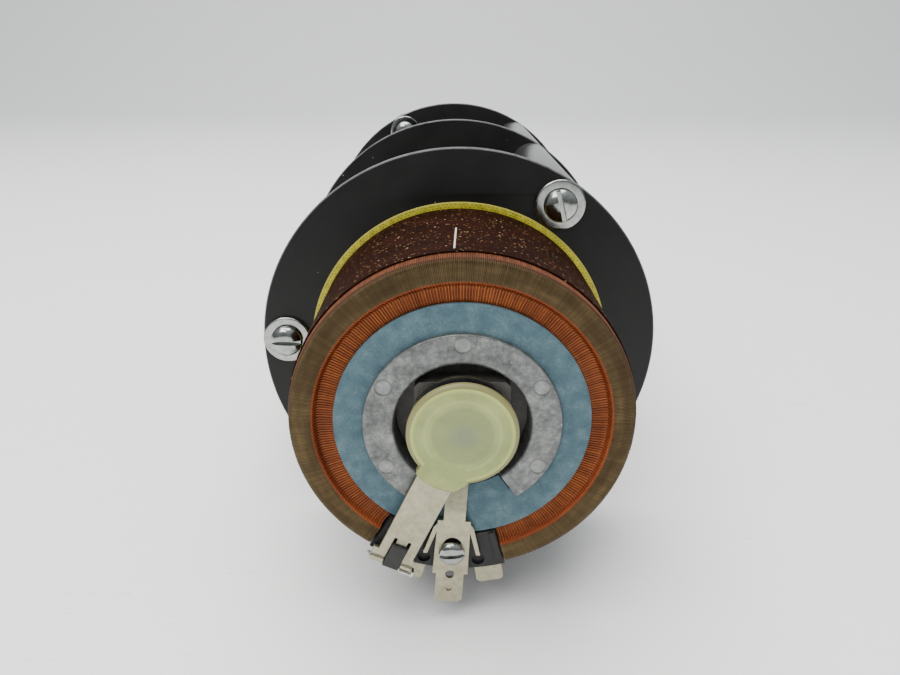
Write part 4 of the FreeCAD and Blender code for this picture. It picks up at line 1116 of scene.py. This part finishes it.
@dataclass
class Cap:
    """Milky cap over the arm's root, with its tongue."""

    gang: Gang
    radius: float = 11.75
    front: float = -4.2
    rear: float = -2.9
    seat: float = -2.04
    wall: float = 0.8
    skin: float = 0.55
    bore: float = 3.6
    tongue_half: float = 0.75

    def _outline(self, turn: Array) -> Array:
        """Outline radius by angle from the arm: the circle, or the tongue where it reaches further."""
        corners = np.array([(2.0, -5.2), (12.4, -5.1), (13.35, -3.0), (13.85, -0.5), (13.7, 2.2),
                            (13.05, 4.3), (12.0, 5.1), (10.0, 6.1), (2.0, 10.6)])
        side = np.roll(corners, -1, axis=0) - corners
        normal = np.stack([side[:, 1], -side[:, 0]], axis=1)
        normal /= np.linalg.norm(normal, axis=1, keepdims=True)
        reach = (normal * corners).sum(axis=1)
        aim = np.stack([np.cos(turn), np.sin(turn)], axis=1)
        facing = aim @ normal.T
        hit = np.where(facing > 1e-3, reach / np.maximum(facing, 1e-3), 1e3).min(axis=1)
        return np.where(np.abs(turn) < self.tongue_half, np.maximum(hit, self.radius), self.radius)

    def build(self) -> None:
        """One closed surface: face, rounded rim, wall and the hollow behind."""
        turn = np.linspace(-np.pi, np.pi, 360, endpoint=False)
        reach = self._outline(turn)
        tongue = np.clip((reach - self.radius) / 0.25, 0, 1)
        hole = 0.0 if self.gang.name == GANGS[0] else self.bore
        cones = ((1.05, 0.0), (0.96, 0.01), (0.86, 0.04), (0.60, 0.13), (0.22, 0.32), (0.0, 0.62))
        leaves = ((0.60, 0.0), (0.35, 0.01), (0.16, 0.05), (0.05, 0.16), (0.0, 0.4), (0.0, 0.8))
        end = np.where(tongue > 0, self.seat, self.rear)
        flat = np.full(len(turn), self.front)
        limit = reach - cones[0][0] * (1 - tongue) - leaves[0][0] * tongue
        rows = [(hole + (limit - hole) * share, flat, 0.0) for share in (0.0, 0.25, 0.5, 0.75, 0.92)]
        for cone, leaf in zip(cones, leaves):
            out = cone[0] * (1 - tongue) + leaf[0] * tongue
            back = cone[1] * (1 - tongue) + leaf[1] * tongue
            rows.append((reach - out, np.minimum(flat + back, end), float(cone[1] > 0.03)))
        inner = np.where(tongue > 0, self.radius - self.wall, reach - self.wall)
        ceiling = np.full(len(turn), self.front + self.skin)
        rows += [(reach, end, 1.0), (inner, end, 1.0), (inner - 0.5, ceiling, 1.0),
                 (np.full(len(turn), hole), ceiling, 0.0)]
        radius = np.stack([row[0] for row in rows])
        depth = np.stack([row[1] for row in rows])
        side = np.array([row[2] for row in rows])[:, None]
        # Lay: the side-wall rows, which the nylon paints in shade, the tongue's share and the radius.
        lay = np.stack(np.broadcast_arrays(side, tongue[None, :], radius), axis=-1)
        points = polar(radius, np.degrees(turn)[None, :], depth)
        spot = self.gang.spot(BRUSH_ANGLE)
        shell = Shell().grid(spot.put(points), ring=bool(hole), turn=True, lay=lay)
        self.gang.make(shell, "cap", "rotor", Slot.NYLON, "hub_cap", 50.0)


@dataclass
class Arm:
    """Flat brush arm with its notch, two relief slots and two ears rolled round the pin."""

    gang: Gang
    half: float = 4.15
    root: float = 8.5
    bore: float = 4.22
    front: float = -2.0
    rear: float = -1.1
    shoulder: float = 34.6
    sheet_end: float = 36.35
    notch: tuple[float, float] = (32.0, 2.0)
    slot: tuple[float, float] = (30.6, 1.25)
    ears: tuple[float, float] = (5.3, 4.7)
    pin: tuple[float, float] = (37.4, -1.05)
    roll: float = 1.2
    roll_bore: float = 0.47

    def _sheet(self) -> Array:
        """Outline of the sheet: round root, straight sides, shoulders, notch and slots."""
        lean = math.asin(self.half / self.root)
        turn = np.linspace(lean, 2 * np.pi - lean, 60)
        arc = self.root * np.stack([np.cos(turn), np.sin(turn)], axis=1)
        (floor, gap), (deep, inside), (left, right) = self.notch, self.slot, self.ears
        end, step = self.sheet_end, self.shoulder
        rest = [(step, -self.half), (step, -left), (end, -left), (end, -gap), (deep, -gap), (deep, -inside),
                (floor, -inside), (floor, inside), (deep, inside), (deep, gap), (end, gap), (end, right),
                (step + 0.6, right), (step, self.half)]
        return np.concatenate([arc, rounded(rest, 0.12, 2, closed=False)])

    def _roll(self, low: float, high: float) -> Array:
        """A rolled ear: x = pin + r cos a, y = pin + r sin a, along the pin from low to high."""
        outer = self.roll
        profile = np.array([(self.roll_bore, low), (outer - 0.1, low), (outer, low + 0.1),
                            (outer, high - 0.1), (outer - 0.1, high), (self.roll_bore, high)])
        turn = np.linspace(0, 2 * np.pi, 40, endpoint=False)
        radius, place = profile[:, :1], profile[:, 1:]
        return np.stack(np.broadcast_arrays(self.pin[0] + radius * np.cos(turn),
                                            self.pin[1] + radius * np.sin(turn), place), axis=-1)

    def build(self) -> None:
        """Stamp the sheet and add its two rolls."""
        spot = self.gang.spot(BRUSH_ANGLE)
        shell = Shell().stamped(self._sheet(), [circle(self.bore)], self.front, self.rear, 0.08, spot)
        for low, high in ((-self.ears[0], -self.notch[1]), (self.notch[1], self.ears[1])):
            shell.grid(spot.put(self._roll(low, high)), ring=True, turn=True)
        self.gang.make(shell, "arm", "rotor", Slot.TIN, "brush_arm")


@dataclass
class ContactGear:
    """The gang's pressed and moulded contact pieces, eased from their solids."""

    gang: Gang

    def build(self) -> None:
        """Ease each piece's edges by what its making leaves."""
        moving = self.gang.name + "_brush"
        for part, body, slot, edge in (
                ("collector_insulator", "frame", Slot.GREY_PHENOLIC, 0.25),
                ("takeoff_strip", "frame", Slot.TIN, 0.10), ("terminal_block", "frame", Slot.PHENOLIC, 0.12),
                ("brush_hub", "rotor", Slot.STEEL, 0.12), ("brush", moving, Slot.CARBON, 0.12)):
            eased_copy(self.gang.node(part), body, slot, edge)


# ------------------------------------------------------------------------------------------- the hardware
@dataclass
class SlottedScrew:
    """Slotted pan-head screws of one size."""

    name: str
    nodes: tuple[str, ...]
    head: float
    height: float
    shank: float
    reach: float
    slot: float
    depth: float
    spots: list[Spot]
    facing: float = 1.0

    def _head(self) -> Array:
        """Dome over chords that run along the slot; between the slot's walls its height is the slot's floor.

        The dome's height is skirt + (height - skirt) sqrt(1 - (r / head)^3).

        Returns:
            The grid of local points, with the underside at depth 0.
        """
        half = self.slot / 2
        side = half + (self.head - half) * np.sin(np.linspace(0, np.pi / 2, 12))
        across = np.concatenate([-side[::-1], [-half, half], side])
        floor = np.zeros(len(across), bool)
        floor[[12, 13]] = True
        chord = np.sqrt(np.maximum(self.head ** 2 - across ** 2, 0.0))
        along = chord[:, None] * np.sin(np.linspace(-np.pi / 2, np.pi / 2, 25))[None, :]
        radius = np.minimum(np.hypot(across[:, None], along) / self.head, 1.0)
        skirt = self.height * 0.22
        dome = skirt + (self.height - skirt) * np.sqrt(np.maximum(1 - radius ** 3, 0.0))
        dome = np.where(floor[:, None], np.minimum(dome, self.height - self.depth), dome)
        level = np.concatenate([np.zeros((len(across), 1)), dome, np.zeros((len(across), 1))], axis=1)
        along = np.concatenate([along[:, :1], along, along[:, -1:]], axis=1)
        return np.stack([along, -level, np.repeat(across[:, None], along.shape[1], axis=1)], axis=-1)

    def build(self) -> None:
        """All the heads with their shanks as one piece."""
        shell = Shell()
        head = self._head() * np.array([1.0, self.facing, 1.0])
        rod = rounded([(0.0, 0.0), (self.shank, 0.0), (self.shank, self.reach), (0.0, self.reach)], 0.3, 2,
                      closed=False) * np.array([1.0, self.facing])
        for spot in self.spots:
            shell.grid(spot.put(head), turn=True)
            shell.revolve(rod, spot, 24, closed=False)
        shell.build(self.name, "frame", Slot.ZINC, self.nodes, 38.0)


@dataclass
class Turned:
    """Turned pieces of one size, in any number."""

    name: str
    node: str
    body: str
    slot: Slot
    profile: Array
    spots: list[Spot]
    closed: bool = True
    columns: int = 64

    def build(self) -> None:
        """Turn the profile at every spot."""
        shell = Shell()
        for spot in self.spots:
            shell.revolve(self.profile, spot, self.columns, closed=self.closed)
        shell.build(self.name, self.body, self.slot, (self.node,))


@dataclass
class Hardware:
    """Screws, washers, spacers, posts, shaft and small pieces of the whole stack."""

    washer_thick: float = 1.0
    washer_radius: float = 6.25
    takeoff_reach: float = 31.8
    pitch: float = 69.2
    rod: float = 6.2
    tapped: float = 2.12
    stud: float = 2.05
    post_hole: float = 1.75
    post_length: float = 12.7
    shaft: float = 3.175
    groove: tuple[float, float, float] = (2.7, -3.8, -3.1)
    stop: tuple[float, float] = (2.0, 9.0)

    def _ring_of_spots(self, depth: float, angles: tuple[float, ...],
                       spins: tuple[float, ...] = (0.0, 0.0, 0.0)) -> list[Spot]:
        """Spots on the plate-screw circle."""
        return [Spot(depth, angle, SCREW_CIRCLE, spin) for angle, spin in zip(angles, spins)]

    def _screws(self) -> None:
        """The three sizes of slotted screw: head, height, shank, reach, slot and its depth for each."""
        gangs = [Gang(name) for name in GANGS]
        lift = self.washer_thick
        spots = self._ring_of_spots(gangs[0].plate - lift, SPACER_ANGLES, (105.0, 178.0, 40.0))
        spots += self._ring_of_spots(gangs[-1].plate - lift, POST_ANGLES, (20.0, 75.0, 140.0))
        SlottedScrew("plate_screw_set", ("plate_screws",), 4.15, 2.6, 2.05, 8.0, 1.15, 1.3, spots).build()
        spots = [Spot(gang.plane - 0.8, STRIP_ANGLE, self.takeoff_reach, 4.0) for gang in gangs]
        SlottedScrew("takeoff_screw_set", ("takeoff_screws",), 3.0, 1.9, 1.5, 3.3, 0.92, 1.04, spots).build()
        spots = [Spot(gang.plate + PLATE_THICK, angle, CASTING_CIRCLE, angle * 2.1)
                 for gang in gangs for angle in CASTING_ANGLES]
        SlottedScrew("casting_screw_set", ("casting_screws",), 2.85, 1.8, 1.5, 6.6, 0.75, 0.9, spots,
                     facing=-1.0).build()

    def _turned(self) -> None:
        """Washers, spacers, posts, shaft and stop pin."""
        front, middle, rear = (Gang(name).plate for name in GANGS)
        spots = self._ring_of_spots(front, SPACER_ANGLES) + self._ring_of_spots(rear, POST_ANGLES)
        thick, wide = self.washer_thick, self.washer_radius
        washer = rounded([(2.25, 0.0), (2.25, -thick), (wide, -thick), (wide, 0.0)],
                         [0.05, 0.2, 0.75, 0.2], 5)
        Turned("plate_washer_set", "plate_washers", "frame", Slot.ZINC, washer, spots, columns=80).build()
        length = self.pitch - PLATE_THICK
        rod, tapped, stud, hole = self.rod, self.tapped, self.stud, self.post_hole
        spacer = rounded([(0.0, 9.0), (tapped, 9.0), (tapped, 0.0), (rod, 0.0), (rod, length), (stud, length),
                          (stud, length + 6.2), (0.0, length + 6.2)],
                         [0, 0.1, 0.3, 0.5, 0.5, 0.1, 0.4, 0], 3, closed=False)
        spots = [spot for plate in (front, middle)
                 for spot in self._ring_of_spots(plate + PLATE_THICK, SPACER_ANGLES)]
        Turned("spacer_set", "plate_spacers", "frame", Slot.SPACER, spacer, spots, closed=False).build()
        length = self.post_length
        post = rounded([(0.0, 5.6), (tapped, 5.6), (tapped, 0.0), (rod, 0.0), (rod, length), (hole, length),
                        (hole, 6.3), (0.0, 6.3)], [0, 0.1, 0.3, 0.5, 0.5, 0.3, 0.1, 0], 3, closed=False)
        spots = self._ring_of_spots(rear + PLATE_THICK, POST_ANGLES)
        Turned("post_set", "mounting_posts", "frame", Slot.SPACER, post, spots, closed=False).build()
        low, high = (corner.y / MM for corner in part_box("drive_shaft"))
        outer, (inner, near, far) = self.shaft, self.groove
        shaft = rounded([(0.0, low), (outer, low), (outer, near), (inner, near), (inner, far), (outer, far),
                         (outer, high), (0.0, high)],
                        [0, 0.4, 0.05, 0.05, 0.05, 0.05, 0.4, 0], 3, closed=False)
        Turned("shaft_rod", "drive_shaft", "rotor", Slot.STEEL, shaft, [Spot(0.0)], closed=False).build()
        thick, length = self.stop
        pin = rounded([(0.0, 0.0), (thick, 0.0), (thick, length), (0.0, length)], 0.4, 3, closed=False)
        Turned("stop_rod", "stop_pin", "frame", Slot.STEEL, pin, [Spot(-12.7, 90.0, 14.0)],
               closed=False).build()

    def _small(self) -> None:
        """Pieces eased from their solids."""
        for node, body, slot, edge in (
                ("shaft_bushes", "frame", Slot.BRONZE, 0.15), ("spacer_nuts", "frame", Slot.ZINC, 0.3),
                ("winding_tabs", "frame", Slot.TIN, 0.12), ("hub_setscrews", "rotor", Slot.BLACK_OXIDE, 0.1),
                ("brush_pins", "rotor", Slot.STEEL, 0.12), ("brush_springs", "rotor", Slot.SPRING, 0.1),
                ("contact_washers", "rotor", Slot.BLACK_OXIDE, 0.06),
                ("stop_collar", "rotor", Slot.STEEL, 0.4),
                ("retaining_ring", "rotor", Slot.BLACK_OXIDE, 0.08)):
            eased_copy(node, body, slot, edge)

    def build(self) -> None:
        """Everything that belongs to the whole stack."""
        self._screws()
        self._turned()
        self._small()


# --------------------------------------------------------------------------------------------- the studio
@dataclass
class Studio:
    """Pale table that sweeps up behind, soft lights and the camera."""

    floor: float
    position: tuple[float, float, float] = (-3.31, -329.93, 74.58)
    forward: tuple[float, float, float] = (0.004757, 0.926253, -0.376871)
    roll: float = 0.084
    lens: float = 28.87
    room_tones: tuple[Triple, Triple] = ((0.30, 0.315, 0.33), (0.92, 0.96, 1.0))
    room_strength: float = 0.77
    bend: float = 500.0
    back: float = 1100.0

    def _table(self) -> None:
        """Swept sheet: flat, then a quarter turn upwards, then upright."""
        turn = np.linspace(0, np.pi / 2, 24)
        bend, back = self.bend, self.back
        y = np.concatenate([np.linspace(-1500, back, 12), back + bend * np.sin(turn[1:]), [back + bend]])
        z = np.concatenate([np.zeros(12), bend * (1 - np.cos(turn[1:])), [bend + 900.0]]) + self.floor
        x = np.linspace(-2200, 2200, 12)
        points = np.stack(np.broadcast_arrays(x[None, :], y[:, None], z[:, None]), axis=-1)
        mesh = bpy.data.meshes.new("table")
        index = np.arange(len(y) * 12).reshape(len(y), 12)
        quads = np.stack([index[:-1, :-1], index[:-1, 1:], index[1:, 1:], index[1:, :-1]], axis=-1)
        mesh.from_pydata(points.reshape(-1, 3) * MM, [], quads.reshape(-1, 4).tolist())
        paint = Paint("table_laminate")
        Tabletop().coat(paint)
        table = smooth_object("table", mesh, paint.material)

    def _light(self, name: str, place: Triple, aim: Triple, size: tuple[float, float], power: float,
               colour: Triple) -> None:
        """Soft rectangular lamp.

        Args:
            name: its name.
            place: where it hangs, in millimetres.
            aim: the point it faces.
            size: width and height in millimetres.
            power: watts.
            colour: its tint.
        """
        data = bpy.data.lights.new(name, "AREA")
        data.shape = "RECTANGLE"
        data.size, data.size_y = size[0] * MM, size[1] * MM
        data.energy = power
        data.color = colour
        lamp = add_object(name, data)
        lamp.location = Vector(place) * MM
        lamp.rotation_mode = "QUATERNION"
        lamp.rotation_quaternion = (Vector(aim) - Vector(place)).to_track_quat("-Z", "Y")

    def _room(self) -> None:
        """Surroundings: dim walls that lighten towards a white ceiling."""
        world = bpy.data.worlds.new("room")
        world.use_nodes = True
        tree = world.node_tree
        aim = tree.nodes.new("ShaderNodeTexCoord")
        parts = tree.nodes.new("ShaderNodeSeparateXYZ")
        walls = tree.nodes.new("ShaderNodeValToRGB")
        for element, place, tone in zip(walls.color_ramp.elements, (0.05, 0.75), self.room_tones):
            element.position = place
            element.color = (*tone, 1.0)
        tree.links.new(aim.outputs["Generated"], parts.inputs[0])
        tree.links.new(parts.outputs[2], walls.inputs[0])
        back = tree.nodes["Background"]
        tree.links.new(walls.outputs[0], back.inputs[0])
        back.inputs[1].default_value = self.room_strength
        bpy.context.scene.world = world

    def _camera(self) -> None:
        """Camera in front of and above the first gang."""
        data = bpy.data.cameras.new("camera")
        data.sensor_width = 36.0
        data.lens = self.lens
        data.clip_start, data.clip_end = 0.01, 50.0
        camera = add_object("camera", data)
        aim = Vector(self.forward).to_track_quat("-Z", "Y").to_matrix()
        turn = aim @ Matrix.Rotation(math.radians(self.roll), 3, "Z")
        camera.matrix_world = Matrix.Translation(Vector(self.position) * MM) @ turn.to_4x4()
        bpy.context.scene.camera = camera

    def build(self) -> None:
        """Table, surroundings, lights and camera."""
        self._table()
        self._room()
        self._light("ceiling", (-150.0, -50.0, 1100.0), (0.0, -100.0, 0.0), (1300.0, 1100.0), 24.0,
                    (1.0, 0.99, 0.96))
        self._light("front_left", (-500.0, -900.0, 900.0), (0.0, -150.0, 0.0), (700.0, 400.0), 6.0,
                    (1.0, 0.985, 0.95))
        self._camera()


def dress_hidden() -> None:
    """Give every CAD node that still shows its slot's finish."""
    slots = {slot.value: slot for slot in Slot}
    named = {part["node"]: part.get("material", part.get("slot")) for part in frame["record"]["subparts"]
             if isinstance(part, dict) and "node" in part}
    for name, node in frame["nodes"].items():
        if node.hide_render:
            continue
        slot = slots.get(named.get(name) or "", Slot.CORE)
        node.data.materials.clear()
        node.data.materials.append(PALETTE.material(slot))
        log.info("%s keeps its solid, finished as %s", name, slot.value)


def main() -> None:
    """Build the stack from its gangs and hardware, then the studio."""
    for name in GANGS:
        gang = Gang(name)
        for part in (BasePlate, Coil, Wraps, Casting, ContactGear, Arm, Cap):
            part(gang).build()
    Hardware().build()
    dress_hidden()
    Studio(CAD_BOX[0].z / MM).build()


if __name__ == "__main__":
    logging.basicConfig(level=logging.INFO, format="%(message)s")
    main()
